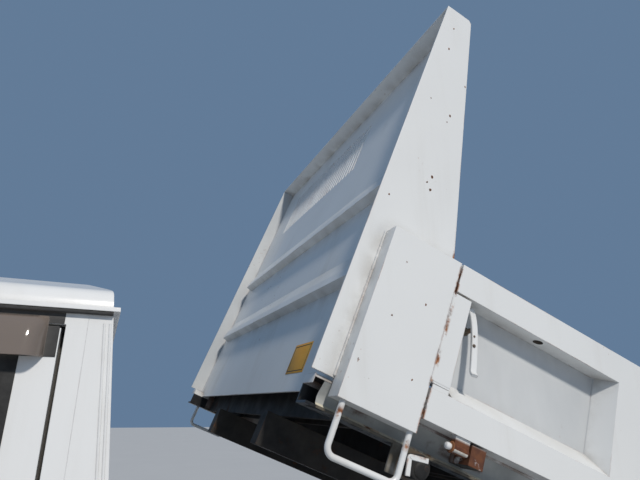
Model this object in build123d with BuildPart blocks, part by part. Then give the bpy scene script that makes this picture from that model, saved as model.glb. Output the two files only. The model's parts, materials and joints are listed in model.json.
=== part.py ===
from build123d import *
import os
from math import asin, cos, hypot, pi, radians, sin

# Light cab-over dump truck with its bed raised part of the way, in millimetres.
# +X is forward, +Y is the truck's left and +Z is up. The origin is on the ground, under
# the middle of the truck.
os.makedirs("parts", exist_ok=True)

# Running clearances
FIT = 0.3
CLEAR = 5

# Wheels and axles
WHEELBASE = 2490
FRONT_AXLE_X = 1375
REAR_AXLE_X = FRONT_AXLE_X - WHEELBASE
TYRE_R = 345
TYRE_W = 205
RIM_R = 203
RIM_W = 168
RIM_DISH = 115
FRONT_TRACK = 1400
REAR_TRACK = 1240
KINGPIN_Y = 600
HUB_R = 62
SPINDLE_R = 28
DRUM_R = 140
BEAM_H = 70

# Ladder frame
RAIL_OUT = 350
RAIL_FLANGE = 55
RAIL_T = 6
RAIL_H = 150
RAIL_BOTTOM = 470
RAIL_TOP = RAIL_BOTTOM + RAIL_H
RAIL_FRONT = 2290
SUB_H = 40
SUB_W = 56

# Bed hinge, at the tail of the frame
HINGE_X = -1790
HINGE_Z = RAIL_TOP + SUB_H / 2
HINGE_PIN_R = 14
RAIL_REAR = HINGE_X - 10

# Bed, laid out along its own floor: u forward, v left, w up from the foot of the front post
BED_TIP = 21.7
BED_REACH = 2640
BED_RISE = 150
BED_HALF = 845
BED_TAIL = 3091
FLOOR_TOP = 90
FLOOR_T = 6
SILL_BOTTOM = -125
SILL_TOP = -30
SILL_W = 56
SIDE_RAIL_TOP = 35
POST_L = 199
POST_H = 423
POST_T = 50
REAR_POST_T = 58.7
GATE_T = 60
GATE_SKIN = 5
GATE_GAP = 6
GATE_TOP_RAIL = 348
GATE_BOTTOM_RAIL = 105
GATE_FOOT = 35
GATE_END = 53
STIFFENER_W = 180
STIFFENER_PITCH = 750
REAR_POST_L = 110
TAILGATE_T = 50
TAIL_PIN_W = 452
TAIL_PIN_R = 12
HINGE_W = 8
HINGE_V = BED_HALF - 13

# Headboard
BOARD_HALF = BED_HALF - POST_T
BOARD_TOP = 1250
BOARD_FOOT = 41
BOARD_FLANGE = 57
BOARD_T = 5
WING_TOE = 203

# Cab
CAB_BACK = 1012
CAB_FRONT = 2352
CAB_BOTTOM = 600
CAB_HALF = BED_HALF
CAB_TOP = 1990
CAB_WALL = 45
BELT_Z = 1300
ROOF_SEAM = 1900
ARCH_R = 420
FLOOR_Z = 655
DECK_Z = 880
DECK_FRONT = 1800
FLOOR_PLATE = 25
DOOR_REAR = 1128
DOOR_FRONT = 2160
DOOR_BOTTOM = 640
DOOR_TOP = 1872
DOOR_GAP = 7
TILT_X = 2330
TILT_Z = 600
TILT_PIN_R = 14

# Hoist cylinder
HOIST_X = -1440
HOIST_Z = 520
EYE_REACH = 1550
BARREL_R = 58
BARREL_L = 850
ROD_R = 32

tip = radians(BED_TIP)
BED_DIR = Vector(cos(tip), 0, sin(tip))
BED_UP = Vector(-sin(tip), 0, cos(tip))
HINGE = Vector(HINGE_X, 0, HINGE_Z)
BED_FOOT = HINGE + BED_DIR * BED_REACH + BED_UP * BED_RISE


def bed_side(v):
    """Plane of the bed at v to the left, drawn in (u, w); it looks to the right."""
    return Plane(origin=BED_FOOT + Vector(0, v, 0), x_dir=BED_DIR, z_dir=(0, -1, 0))


def bed_cross(u):
    """Plane across the bed at u, drawn in (v, w); it looks forward."""
    return Plane(origin=BED_FOOT + BED_DIR * u, x_dir=(0, 1, 0), z_dir=BED_DIR)


def bed_level(w):
    """Plane of the bed at height w, drawn in (u, v); it looks up."""
    return Plane(origin=BED_FOOT + BED_UP * w, x_dir=BED_DIR, z_dir=BED_UP)


def side_plane(y):
    """Plane of the chassis at y, drawn in (x, z); it looks to the right."""
    return Plane.XZ.offset(-y)


def span(low, high):
    """Length and middle of a stretch."""
    return high - low, (high + low) / 2


# Ladder frame: two channels, open inwards
RAIL_MID = RAIL_BOTTOM + RAIL_H / 2
with BuildPart() as chassis_rails:
    with BuildSketch(Plane.YZ.offset(RAIL_REAR)):
        with Locations((RAIL_OUT - RAIL_FLANGE / 2, RAIL_MID)):
            Rectangle(RAIL_FLANGE, RAIL_H)
        with Locations((RAIL_OUT - RAIL_T - RAIL_FLANGE / 2, RAIL_MID)):
            Rectangle(RAIL_FLANGE, RAIL_H - 2 * RAIL_T, mode=Mode.SUBTRACT)
    extrude(amount=RAIL_FRONT - RAIL_REAR)
    mirror(about=Plane.XZ)

# Cross members between the rails. Columns: x, lowest z, height, length along x
CROSS_MEMBERS = (
    (RAIL_FRONT - 40, RAIL_BOTTOM + RAIL_T, RAIL_H - 2 * RAIL_T, 80),
    (820, RAIL_BOTTOM + RAIL_T, 100, 60),
    (60, RAIL_BOTTOM + RAIL_T, RAIL_H - 2 * RAIL_T, 70),
    (-640, RAIL_BOTTOM + RAIL_T, 50, 80),
    (RAIL_REAR + 40, RAIL_BOTTOM + RAIL_T, RAIL_H - 2 * RAIL_T, 80),
)
CROSS_T = 6
with BuildPart() as chassis_cross_members:
    for x, low, height, length in CROSS_MEMBERS:
        with BuildSketch(Plane.XZ):
            with Locations((x, low + height / 2)):
                Rectangle(length, height)
            with Locations((x, low + height / 2 - CROSS_T)):
                Rectangle(length - 2 * CROSS_T, height, mode=Mode.SUBTRACT)
        extrude(amount=RAIL_OUT - RAIL_T, both=True)
    with BuildSketch(side_plane(RAIL_OUT - RAIL_T)):
        with Locations((HOIST_X, HOIST_Z)):
            Circle(24)
    extrude(amount=2 * (RAIL_OUT - RAIL_T))

# Cab tilt brackets: a plate on each rail's front end carries the pin
TILT_PLATE_T = 12
TILT_BOSS_R = 22
TILT_LUG_GAP = 15
TILT_LUG_T = 30
TOW_X = 2385
TOW_Z = 325
TOW_EYE_R = 34
TOW_BORE_R = 17
TOW_T = 16
with BuildPart() as cab_tilt_brackets:
    with BuildSketch(side_plane(RAIL_OUT + TILT_PLATE_T)):
        with BuildLine():
            Polyline(
                (RAIL_FRONT - 130, RAIL_TOP - 10),
                (RAIL_FRONT - 130, RAIL_BOTTOM + 40),
                (RAIL_FRONT, RAIL_BOTTOM + 40),
                (TILT_X, TILT_Z - TILT_BOSS_R),
                (TILT_X, TILT_Z),
                close=True,
            )
        make_face()
        with Locations((TILT_X, TILT_Z)):
            Circle(TILT_BOSS_R)
    extrude(amount=TILT_PLATE_T)
    with BuildSketch(side_plane(RAIL_OUT + TILT_PLATE_T)):
        with Locations((TILT_X, TILT_Z)):
            Circle(TILT_PIN_R)
    extrude(amount=-TILT_LUG_GAP - TILT_LUG_T - 3)
    with BuildSketch(side_plane(RAIL_OUT - RAIL_T)):
        with BuildLine():
            Polyline(
                (RAIL_FRONT - 80, RAIL_BOTTOM + RAIL_T),
                (RAIL_FRONT - 80, RAIL_BOTTOM + 80),
                (RAIL_FRONT, RAIL_BOTTOM + 80),
                (TOW_X + TOW_EYE_R, TOW_Z + 60),
                (TOW_X + TOW_EYE_R, TOW_Z),
                (TOW_X - TOW_EYE_R, TOW_Z),
                (RAIL_FRONT + 6, RAIL_BOTTOM + RAIL_T),
                close=True,
            )
        make_face()
        with Locations((TOW_X, TOW_Z)):
            Circle(TOW_EYE_R)
            Circle(TOW_BORE_R, mode=Mode.SUBTRACT)
    extrude(amount=TOW_T)
    mirror(about=Plane.XZ)

# Hoop across the frame that the back of the cab rests on
HOOP_TOP = DECK_Z - FLOOR_PLATE - CLEAR
with BuildPart() as cab_rest:
    with BuildSketch(Plane.YZ.offset(CAB_BACK + 50)):
        hoop_height, hoop_level = span(RAIL_TOP, HOOP_TOP)
        with Locations((0, hoop_level)):
            Rectangle(2 * RAIL_OUT - 20, hoop_height)
        with Locations((0, hoop_level - 35)):
            Rectangle(2 * RAIL_OUT - 100, hoop_height, mode=Mode.SUBTRACT)
    extrude(amount=40)

# Sub-frame under the bed, its tail rounded about the bed hinge, with the hinge pins
SUB_FRONT = 850
with BuildPart() as sub_frame:
    with BuildSketch(side_plane(RAIL_OUT)):
        sub_length, sub_mid = span(HINGE_X, SUB_FRONT)
        with Locations((sub_mid, HINGE_Z)):
            Rectangle(sub_length, SUB_H)
        with Locations((HINGE_X, HINGE_Z)):
            Circle(SUB_H / 2)
    extrude(amount=SUB_W)
    with BuildSketch(side_plane(RAIL_OUT)):
        with Locations((HINGE_X, HINGE_Z)):
            Circle(HINGE_PIN_R)
    extrude(amount=-40)
    mirror(about=Plane.XZ)

# Engine with its gearbox, one plain block between the rails
ENGINE_LOW = 425
with BuildPart() as engine:
    with BuildSketch(Plane.XZ):
        with BuildLine():
            Polyline(
                (1760, ENGINE_LOW + 60),
                (1700, ENGINE_LOW),
                (1240, ENGINE_LOW),
                (1180, 365),
                (920, 375),
                (900, 400),
                (900, 500),
                (1160, 640),
                (1160, 800),
                (1240, 842),
                (1700, 842),
                (1760, 800),
                close=True,
            )
        make_face()
    extrude(amount=190, both=True)
    with BuildSketch(Plane.XY):
        with Locations((1040, 0)):
            Rectangle(280, 400)
        with Locations((1040, 0)):
            Rectangle(290, 250, mode=Mode.SUBTRACT)
    extrude(amount=CAB_TOP, mode=Mode.SUBTRACT)

# Propeller shaft from the gearbox down to the axle
SHAFT_R = 36
SHAFT_FRONT = Vector(900, 0, 425)
SHAFT_REAR = Vector(REAR_AXLE_X + 150, 0, TYRE_R + 10)
with BuildPart() as propeller_shaft:
    with BuildSketch(Plane(origin=SHAFT_REAR, z_dir=SHAFT_FRONT - SHAFT_REAR)):
        Circle(SHAFT_R)
    extrude(amount=(SHAFT_FRONT - SHAFT_REAR).length + SHAFT_R, both=True)
    split(bisect_by=Plane.YZ.offset(SHAFT_FRONT.X), keep=Keep.BOTTOM)
    split(bisect_by=Plane.YZ.offset(SHAFT_REAR.X), keep=Keep.TOP)

# Front axle: a forged beam, with an eye at each end for the kingpin
BEAM_TOP = TYRE_R + BEAM_H / 2
KINGPIN_R = 15
with BuildPart() as front_axle:
    with BuildSketch(Plane.YZ.offset(FRONT_AXLE_X - 32)):
        with BuildLine():
            Polyline(
                (0, BEAM_TOP - 30),
                (RAIL_OUT - 110, BEAM_TOP - 30),
                (RAIL_OUT - 80, BEAM_TOP),
                (KINGPIN_Y, BEAM_TOP),
                (KINGPIN_Y, BEAM_TOP - BEAM_H),
                (RAIL_OUT - 40, BEAM_TOP - BEAM_H),
                (RAIL_OUT - 110, BEAM_TOP - BEAM_H - 30),
                (0, BEAM_TOP - BEAM_H - 30),
                close=True,
            )
        make_face()
    extrude(amount=64)
    with BuildSketch(Plane.XY.offset(BEAM_TOP - BEAM_H)):
        with Locations((FRONT_AXLE_X, KINGPIN_Y)):
            Circle(32)
    extrude(amount=BEAM_H)
    with BuildSketch(Plane.XY.offset(BEAM_TOP - BEAM_H)):
        with Locations((FRONT_AXLE_X, KINGPIN_Y)):
            Circle(KINGPIN_R + FIT)
    extrude(amount=BEAM_H, mode=Mode.SUBTRACT)
    mirror(about=Plane.XZ)

# Steering knuckle: a fork over and under the beam's eye, the spindle and the track arm
FORK_T = 24
ARM_BACK = 120
ARM_IN = 70
ARM_END_R = 22
ARM_Z = TYRE_R - BEAM_H / 2 - 2 * FORK_T
WHEEL_Y = FRONT_TRACK / 2
with BuildPart() as knuckle_left:
    with BuildSketch(side_plane(WHEEL_Y + 60)):
        with Locations((FRONT_AXLE_X, TYRE_R)):
            Circle(SPINDLE_R)
    extrude(amount=WHEEL_Y + 60 - KINGPIN_Y - 36)
    with BuildSketch(Plane.YZ.offset(FRONT_AXLE_X - 32)):
        with BuildLine():
            Polyline(
                (KINGPIN_Y - 30, BEAM_TOP + 1),
                (KINGPIN_Y - 30, BEAM_TOP + 1 + FORK_T),
                (KINGPIN_Y + 54, BEAM_TOP + 1 + FORK_T),
                (KINGPIN_Y + 54, BEAM_TOP - BEAM_H - 1 - FORK_T),
                (KINGPIN_Y - 30, BEAM_TOP - BEAM_H - 1 - FORK_T),
                (KINGPIN_Y - 30, BEAM_TOP - BEAM_H - 1),
                (KINGPIN_Y + 38, BEAM_TOP - BEAM_H - 1),
                (KINGPIN_Y + 38, BEAM_TOP + 1),
                close=True,
            )
        make_face()
    extrude(amount=64)
    with BuildSketch(Plane.XY.offset(BEAM_TOP - BEAM_H - 1 - FORK_T)):
        with Locations((FRONT_AXLE_X, KINGPIN_Y)):
            Circle(KINGPIN_R)
    extrude(amount=BEAM_H + 2 + 2 * FORK_T)
    with BuildSketch(Plane.XY.offset(ARM_Z)):
        with BuildLine():
            Polyline(
                (FRONT_AXLE_X - 30, KINGPIN_Y - 28),
                (FRONT_AXLE_X - 30, KINGPIN_Y + 24),
                (FRONT_AXLE_X + 28, KINGPIN_Y + 24),
                (FRONT_AXLE_X + 28, KINGPIN_Y - 28),
                close=True,
            )
        make_face()
        with Locations((FRONT_AXLE_X - ARM_BACK, KINGPIN_Y - ARM_IN)):
            Circle(ARM_END_R)
        make_hull()
    extrude(amount=FORK_T)
with BuildPart() as knuckle_right:
    mirror(knuckle_left.part, about=Plane.XZ)

# Track rod, hung under the two track arms
ROD_END_H = 26
ROD_END_R = 16
with BuildPart() as track_rod:
    with BuildSketch(Plane.XY.offset(ARM_Z - FIT)):
        with Locations((FRONT_AXLE_X - ARM_BACK, KINGPIN_Y - ARM_IN)):
            Circle(ROD_END_R)
    extrude(amount=-ROD_END_H)
    mirror(about=Plane.XZ)
    with BuildSketch(side_plane(KINGPIN_Y - ARM_IN)):
        with Locations((FRONT_AXLE_X - ARM_BACK, ARM_Z - FIT - ROD_END_H / 2)):
            Circle(11)
    extrude(amount=2 * (KINGPIN_Y - ARM_IN))

# Rear axle: tube, differential housing and spindles
DIFF_R = 132
with BuildPart() as rear_axle:
    with BuildSketch(side_plane(REAR_TRACK / 2 - 60)):
        with Locations((REAR_AXLE_X, TYRE_R)):
            Circle(46)
    extrude(amount=REAR_TRACK - 120)
    with BuildSketch(side_plane(REAR_TRACK / 2 + 60)):
        with Locations((REAR_AXLE_X, TYRE_R)):
            Circle(SPINDLE_R)
    extrude(amount=REAR_TRACK + 120)
    with Locations((REAR_AXLE_X, 0, TYRE_R)):
        Sphere(DIFF_R)
    with BuildSketch(Plane.YZ.offset(REAR_AXLE_X)):
        with Locations((0, TYRE_R + 10)):
            Circle(60)
    extrude(amount=150)

# Leaf springs under the rails: leaves stacked on the axle's seat, an eye and hanger at each end.
# Columns: axle x, half length, seat height
SPRINGS = (
    (FRONT_AXLE_X, 520, BEAM_TOP),
    (REAR_AXLE_X, 560, TYRE_R + 46),
)
LEAVES = 4
LEAF_W = 60
LEAF_T = 9
LEAF_STEP = 0.19
CLAMP_L = 120
CLAMP_T = 10
SPRING_EYE_R = 18
SPRING_EYE_Z = RAIL_BOTTOM - 26
HANGER_L = 70


def leaf(x, centre, top, half):
    """One leaf, between two arcs about a centre height; top is the upper one's radius."""
    turn = asin(half / top)
    low = top + LEAF_T
    with BuildPart() as body:
        with BuildSketch(side_plane(RAIL_OUT)):
            with BuildLine():
                upper = ThreePointArc(
                    (x - half, centre - top * cos(turn)),
                    (x, centre - top),
                    (x + half, centre - top * cos(turn)),
                )
                lower = ThreePointArc(
                    (x + low * sin(turn), centre - low * cos(turn)),
                    (x, centre - low),
                    (x - low * sin(turn), centre - low * cos(turn)),
                )
                Line(upper @ 1, lower @ 0)
                Line(lower @ 1, upper @ 0)
            make_face()
        extrude(amount=LEAF_W)
    return body.part


with BuildPart() as leaf_springs:
    for x, half, seat in SPRINGS:
        pack_low = seat + CLAMP_T / 2
        pack_top = pack_low + LEAVES * LEAF_T
        rise = SPRING_EYE_Z - pack_top
        radius = (half**2 + rise**2) / (2 * rise)
        for i in range(LEAVES):
            add(leaf(x, pack_top + radius, radius + i * LEAF_T, half * (1 - i * LEAF_STEP)))
        with BuildSketch(side_plane(RAIL_OUT)):
            clamp_height, clamp_level = span(seat, pack_top + CLAMP_T)
            with Locations((x, clamp_level)):
                Rectangle(CLAMP_L, clamp_height)
        extrude(amount=LEAF_W)
        for end in (x - half, x + half):
            with BuildSketch(side_plane(RAIL_OUT)):
                with Locations((end, SPRING_EYE_Z)):
                    Circle(SPRING_EYE_R)
                with Locations((end, RAIL_BOTTOM - 1)):
                    Rectangle(HANGER_L, 2)
                make_hull()
            extrude(amount=LEAF_W)
    mirror(about=Plane.XZ)

# Tyres in flats, so that all six stay light, and rims turned about the axle.
# Columns of the tyre's half: distance from its middle, radius
LIP_R = RIM_R + 13
LIP_T = 7
TYRE_FLATS = 48
TYRE_HALF = (
    (RIM_W / 2 - LIP_T - FIT, LIP_R + 1),
    (TYRE_W / 2, RIM_R + 62),
    (TYRE_W / 2 - 20, TYRE_R - 9),
    (TYRE_W / 2 - 48, TYRE_R),
)


def wheel_plane(x):
    """Plane through an axle, drawn in (y, radius)."""
    return Plane(origin=(x, 0, TYRE_R), x_dir=(0, 1, 0), z_dir=(1, 0, 0))


def tyre_ring(x, side, radius):
    """Corners of a polygon about the axle at y = side, standing on a flat; radius is to its flats."""
    step = 2 * pi / TYRE_FLATS
    corner = radius / cos(step / 2)
    turns = [(i + 0.5) * step for i in range(TYRE_FLATS)]
    return [Vector(x + corner * sin(turn), side, TYRE_R - corner * cos(turn)) for turn in turns]


def tyre(x, y):
    """One tyre, standing on the ground at x, with its middle at y."""
    half = ((TYRE_HALF[0][0], RIM_R + FIT),) + TYRE_HALF
    section = [(y + a, r) for a, r in half] + [(y - a, r) for a, r in reversed(half)]
    rings = [tyre_ring(x, side, radius) for side, radius in section]
    faces = []
    for near, far in zip(rings, rings[1:] + rings[:1]):
        for i in range(TYRE_FLATS):
            j = (i + 1) % TYRE_FLATS
            faces.append(Face(Wire.make_polygon((near[i], near[j], far[j], far[i]))))
    return Solid(Shell(faces))


def rim(x, y, dish):
    """One rim; its disc is dished to the side that dish points to, 1 or -1."""
    half = RIM_W / 2
    with BuildPart() as body:
        with BuildSketch(wheel_plane(x)):
            with BuildLine():
                Polyline(
                    (y - half, RIM_R - 9),
                    (y - half, LIP_R),
                    (y - half + LIP_T, LIP_R),
                    (y - half + LIP_T, RIM_R),
                    (y + half - LIP_T, RIM_R),
                    (y + half - LIP_T, LIP_R),
                    (y + half, LIP_R),
                    (y + half, RIM_R - 9),
                    close=True,
                )
            make_face()
            with BuildLine():
                Polyline(
                    (y + dish * 40, RIM_R - 5),
                    (y + dish * 56, RIM_R - 5),
                    (y + dish * RIM_DISH, 135),
                    (y + dish * RIM_DISH, SPINDLE_R + 20),
                    (y + dish * (RIM_DISH - 10), SPINDLE_R + 20),
                    (y + dish * (RIM_DISH - 10), 128),
                    close=True,
                )
            make_face()
        revolve(axis=Axis((x, 0, TYRE_R), (0, 1, 0)))
        with BuildSketch(side_plane(y + dish * RIM_DISH + 200)):
            with Locations((x, TYRE_R)):
                with PolarLocations(158, 8):
                    Circle(17)
        extrude(amount=400, mode=Mode.SUBTRACT)
    return body.part


def hub(x, low, high, bore_end):
    """A hub of one axle end between two y values, bored for its spindle from inside."""
    with BuildPart() as body:
        with BuildSketch(side_plane(high)):
            with Locations((x, TYRE_R)):
                Circle(HUB_R)
        extrude(amount=high - low)
        with BuildSketch(side_plane(bore_end)):
            with Locations((x, TYRE_R)):
                Circle(SPINDLE_R + FIT)
        extrude(amount=bore_end - low, mode=Mode.SUBTRACT)
    return body.part


def drum(x, low, high, bore):
    """A brake drum between two y values, with a hole in its middle."""
    with BuildPart() as body:
        with BuildSketch(side_plane(high)):
            with Locations((x, TYRE_R)):
                Circle(DRUM_R)
                Circle(bore, mode=Mode.SUBTRACT)
        extrude(amount=high - low)
    return body.part


with BuildPart() as front_tyre_left:
    add(tyre(FRONT_AXLE_X, WHEEL_Y))
with BuildPart() as front_rim_left:
    add(rim(FRONT_AXLE_X, WHEEL_Y, 1))
    add(hub(FRONT_AXLE_X, WHEEL_Y, WHEEL_Y + RIM_DISH + 24, WHEEL_Y + 60 + FIT))
    add(drum(FRONT_AXLE_X, WHEEL_Y - 30, WHEEL_Y + 30, SPINDLE_R + FIT))
REAR_IN = REAR_TRACK / 2 - RIM_DISH
REAR_OUT = REAR_TRACK / 2 + RIM_DISH
with BuildPart() as rear_tyres_left:
    add(tyre(REAR_AXLE_X, REAR_IN))
    add(tyre(REAR_AXLE_X, REAR_OUT))
with BuildPart() as rear_rims_left:
    add(rim(REAR_AXLE_X, REAR_IN, 1))
    add(rim(REAR_AXLE_X, REAR_OUT, -1))
    add(hub(REAR_AXLE_X, REAR_TRACK / 2 - 50, REAR_OUT + 20, REAR_TRACK / 2 + 60 + FIT))
    add(drum(REAR_AXLE_X, REAR_TRACK / 2 - 130, REAR_TRACK / 2 - 50, 52))
    add(drum(REAR_AXLE_X, REAR_TRACK / 2 - 55, REAR_TRACK / 2 - 50, SPINDLE_R + FIT))
with BuildPart() as front_tyre_right:
    mirror(front_tyre_left.part, about=Plane.XZ)
with BuildPart() as front_rim_right:
    mirror(front_rim_left.part, about=Plane.XZ)
with BuildPart() as rear_tyres_right:
    mirror(rear_tyres_left.part, about=Plane.XZ)
with BuildPart() as rear_rims_right:
    mirror(rear_rims_left.part, about=Plane.XZ)

# Fuel tank on the right rail, battery box on the left one
TANK_IN = RAIL_OUT + 30
with BuildPart() as fuel_tank:
    with BuildSketch(side_plane(-TANK_IN)):
        with Locations((130, RAIL_MID - 15)):
            RectangleRounded(560, 270, 45)
    extrude(amount=300)
    with BuildSketch(side_plane(-RAIL_OUT)):
        with Locations((-20, RAIL_MID), (280, RAIL_MID)):
            Rectangle(50, RAIL_H)
    extrude(amount=TANK_IN - RAIL_OUT)
with BuildPart() as battery_box:
    with BuildSketch(side_plane(TANK_IN + 260)):
        with Locations((330, RAIL_MID - 5)):
            RectangleRounded(320, 240, 12)
    extrude(amount=260)
    with BuildSketch(side_plane(TANK_IN)):
        with Locations((250, RAIL_MID), (410, RAIL_MID)):
            Rectangle(40, RAIL_H)
    extrude(amount=TANK_IN - RAIL_OUT)

# Exhaust: muffler under the left rail, with its tail pipe
with BuildPart() as exhaust:
    with BuildSketch(Plane.YZ.offset(-450)):
        with Locations((0.6 * RAIL_OUT, RAIL_BOTTOM - 95)):
            Circle(85)
    extrude(amount=480)
    with BuildSketch(Plane.YZ.offset(30)):
        with Locations((0.6 * RAIL_OUT, RAIL_BOTTOM - 95)):
            Circle(26)
    extrude(amount=900)
    with BuildSketch(side_plane(0.6 * RAIL_OUT)):
        with Locations((-100, RAIL_BOTTOM - 30), (-350, RAIL_BOTTOM - 30)):
            Rectangle(30, 60)
    extrude(amount=-110)

# Front bumper on the rails' horns, drilled for the number plate
BUMPER_X = 2440
PLATE_BOLT_SPAN = 210
PLATE_BOLT_R = 3.5
BUMPER_LOW = 350
BUMPER_TOP = 562
with BuildPart() as front_bumper:
    with BuildSketch(Plane.XY.offset(BUMPER_LOW)):
        with BuildLine():
            FilletPolyline(
                (2130, CAB_HALF - 5),
                (2330, CAB_HALF - 5),
                (BUMPER_X, CAB_HALF - 160),
                (BUMPER_X, 160 - CAB_HALF),
                (2330, 5 - CAB_HALF),
                (2130, 5 - CAB_HALF),
                radius=60,
            )
            offset(amount=12, side=Side.RIGHT)
        make_face()
    extrude(amount=BUMPER_TOP - BUMPER_LOW)
    with BuildSketch(Plane.YZ.offset(BUMPER_X - 60)):
        with Locations((0, (BUMPER_LOW + BUMPER_TOP) / 2)):
            with GridLocations(PLATE_BOLT_SPAN, 1, 2, 1):
                Circle(PLATE_BOLT_R)
    extrude(amount=100, mode=Mode.SUBTRACT)
    with BuildSketch(side_plane(RAIL_OUT)):
        with BuildLine():
            Polyline(
                (RAIL_FRONT, RAIL_BOTTOM + 6),
                (BUMPER_X - 11, RAIL_BOTTOM + 6),
                (BUMPER_X - 11, RAIL_BOTTOM + 60),
                (RAIL_FRONT, RAIL_BOTTOM + 60),
                close=True,
            )
        make_face()
    extrude(amount=RAIL_T)
    with BuildSketch(side_plane(-RAIL_OUT + RAIL_T)):
        with BuildLine():
            Polyline(
                (RAIL_FRONT, RAIL_BOTTOM + 6),
                (BUMPER_X - 11, RAIL_BOTTOM + 6),
                (BUMPER_X - 11, RAIL_BOTTOM + 60),
                (RAIL_FRONT, RAIL_BOTTOM + 60),
                close=True,
            )
        make_face()
    extrude(amount=RAIL_T)

# Rear bar with its lamps, hung from the rails' tails
BAR_X = RAIL_REAR - 70
BAR_LOW = 425
BAR_H = 80
with BuildPart() as rear_bar:
    with BuildSketch(Plane.XZ):
        with Locations((BAR_X, BAR_LOW + BAR_H / 2)):
            Rectangle(40, BAR_H)
        with Locations((BAR_X + 5, BAR_LOW + BAR_H / 2)):
            Rectangle(40, BAR_H - 10, mode=Mode.SUBTRACT)
    extrude(amount=780, both=True)
    with BuildSketch(side_plane(RAIL_OUT + 8)):
        with BuildLine():
            Polyline(
                (RAIL_REAR + 90, RAIL_BOTTOM),
                (BAR_X - 15, BAR_LOW + 5),
                (BAR_X - 15, BAR_LOW + BAR_H - 5),
                (RAIL_REAR + 4, RAIL_BOTTOM + 60),
                (RAIL_REAR + 90, RAIL_BOTTOM + 60),
                close=True,
            )
        make_face()
    extrude(amount=8)
    mirror(about=Plane.XZ)
with BuildPart() as tail_lamps:
    with BuildSketch(Plane.YZ.offset(BAR_X - 20)):
        with Locations((640, BAR_LOW + BAR_H / 2)):
            RectangleRounded(260, 74, 10)
    extrude(amount=-32)
    mirror(about=Plane.XZ)

# Mudguards over the rear pair, each on a stay from the rail
GUARD_R = TYRE_R + 18
with BuildPart() as rear_mudguards:
    with BuildSketch(side_plane(BED_HALF - 10)):
        with Locations((REAR_AXLE_X, TYRE_R)):
            Circle(GUARD_R + 5)
            Circle(GUARD_R, mode=Mode.SUBTRACT)
        with Locations((REAR_AXLE_X, TYRE_R - 300)):
            Rectangle(900, 700, mode=Mode.SUBTRACT)
        with Locations((REAR_AXLE_X, TYRE_R + 300)):
            Rectangle(260, 400, mode=Mode.SUBTRACT)
    extrude(amount=BED_HALF - 10 - RAIL_OUT - 40)
    with BuildSketch(side_plane(BED_HALF - 60)):
        with Locations((REAR_AXLE_X + 262, TYRE_R + 268), (REAR_AXLE_X - 262, TYRE_R + 268)):
            Circle(12)
    extrude(amount=BED_HALF - 60 - RAIL_OUT)
    mirror(about=Plane.XZ)

# Bed sills, hinge lugs and the cheeks that take the hoist rod's eye
LUG_R = 40
LUG_T = 16
LUG_IN = RAIL_OUT + CLEAR
EYE_W = -BED_RISE
EYE_U = EYE_REACH - BED_REACH
CHEEK_IN = 40
CHEEK_T = 14
HINGE_U = -BED_REACH
with BuildPart() as bed_sills:
    with BuildSketch(bed_side(RAIL_OUT)):
        sill_length, sill_mid = span(-BED_TAIL + 30, -20)
        sill_height, sill_level = span(SILL_BOTTOM, SILL_TOP)
        with Locations((sill_mid, sill_level)):
            Rectangle(sill_length, sill_height)
    extrude(amount=SILL_W)
    with BuildSketch(bed_side(LUG_IN + LUG_T)):
        with BuildLine():
            Polyline(
                (HINGE_U - LUG_R, -BED_RISE),
                (HINGE_U + LUG_R, -BED_RISE),
                (HINGE_U + LUG_R + 50, SILL_TOP),
                (HINGE_U - LUG_R - 50, SILL_TOP),
                close=True,
            )
        make_face()
        with Locations((HINGE_U, -BED_RISE)):
            Circle(LUG_R)
            Circle(HINGE_PIN_R + FIT, mode=Mode.SUBTRACT)
    extrude(amount=LUG_T)
    with BuildSketch(bed_side(LUG_IN + LUG_T)):
        with Locations((HINGE_U, sill_level + 20)):
            Rectangle(2 * LUG_R, sill_height - 50)
    extrude(amount=LUG_T + CLEAR)
    mirror(about=Plane.XZ)

# Bed cross members and the hoist's bracket
JOIST_PITCH = 360
JOIST_COUNT = 9
JOIST_L = 50
FLOOR_UNDER = FLOOR_TOP - FLOOR_T
SIDE_RAIL_IN = BED_HALF - 117
joist_height, joist_level = span(SILL_TOP, FLOOR_UNDER)
with BuildPart() as bed_cross_members:
    for i in range(JOIST_COUNT):
        with BuildSketch(bed_side(SIDE_RAIL_IN)):
            with Locations((-60 - i * JOIST_PITCH - JOIST_L / 2, joist_level)):
                Rectangle(JOIST_L, joist_height)
            with Locations((-60 - i * JOIST_PITCH - JOIST_L / 2, joist_level - 6)):
                Rectangle(JOIST_L - 12, joist_height, mode=Mode.SUBTRACT)
        extrude(amount=2 * SIDE_RAIL_IN)
with BuildPart() as hoist_bracket:
    with BuildSketch(bed_side(CHEEK_IN + CHEEK_T)):
        with BuildLine():
            Polyline(
                (EYE_U - 45, EYE_W),
                (EYE_U + 45, EYE_W),
                (EYE_U + 130, SILL_TOP),
                (EYE_U - 130, SILL_TOP),
                close=True,
            )
        make_face()
        with Locations((EYE_U, EYE_W)):
            Circle(45)
            Circle(20, mode=Mode.SUBTRACT)
    extrude(amount=CHEEK_T)
    mirror(about=Plane.XZ)

# Bed floor
with BuildPart() as bed_floor:
    with BuildSketch(bed_level(FLOOR_UNDER)):
        floor_length, floor_mid = span(-BED_TAIL + TAILGATE_T + GATE_GAP, -BOARD_T)
        with Locations((floor_mid, 0)):
            Rectangle(floor_length, 2 * (BED_HALF - GATE_T - GATE_GAP))
    extrude(amount=FLOOR_T)

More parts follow.
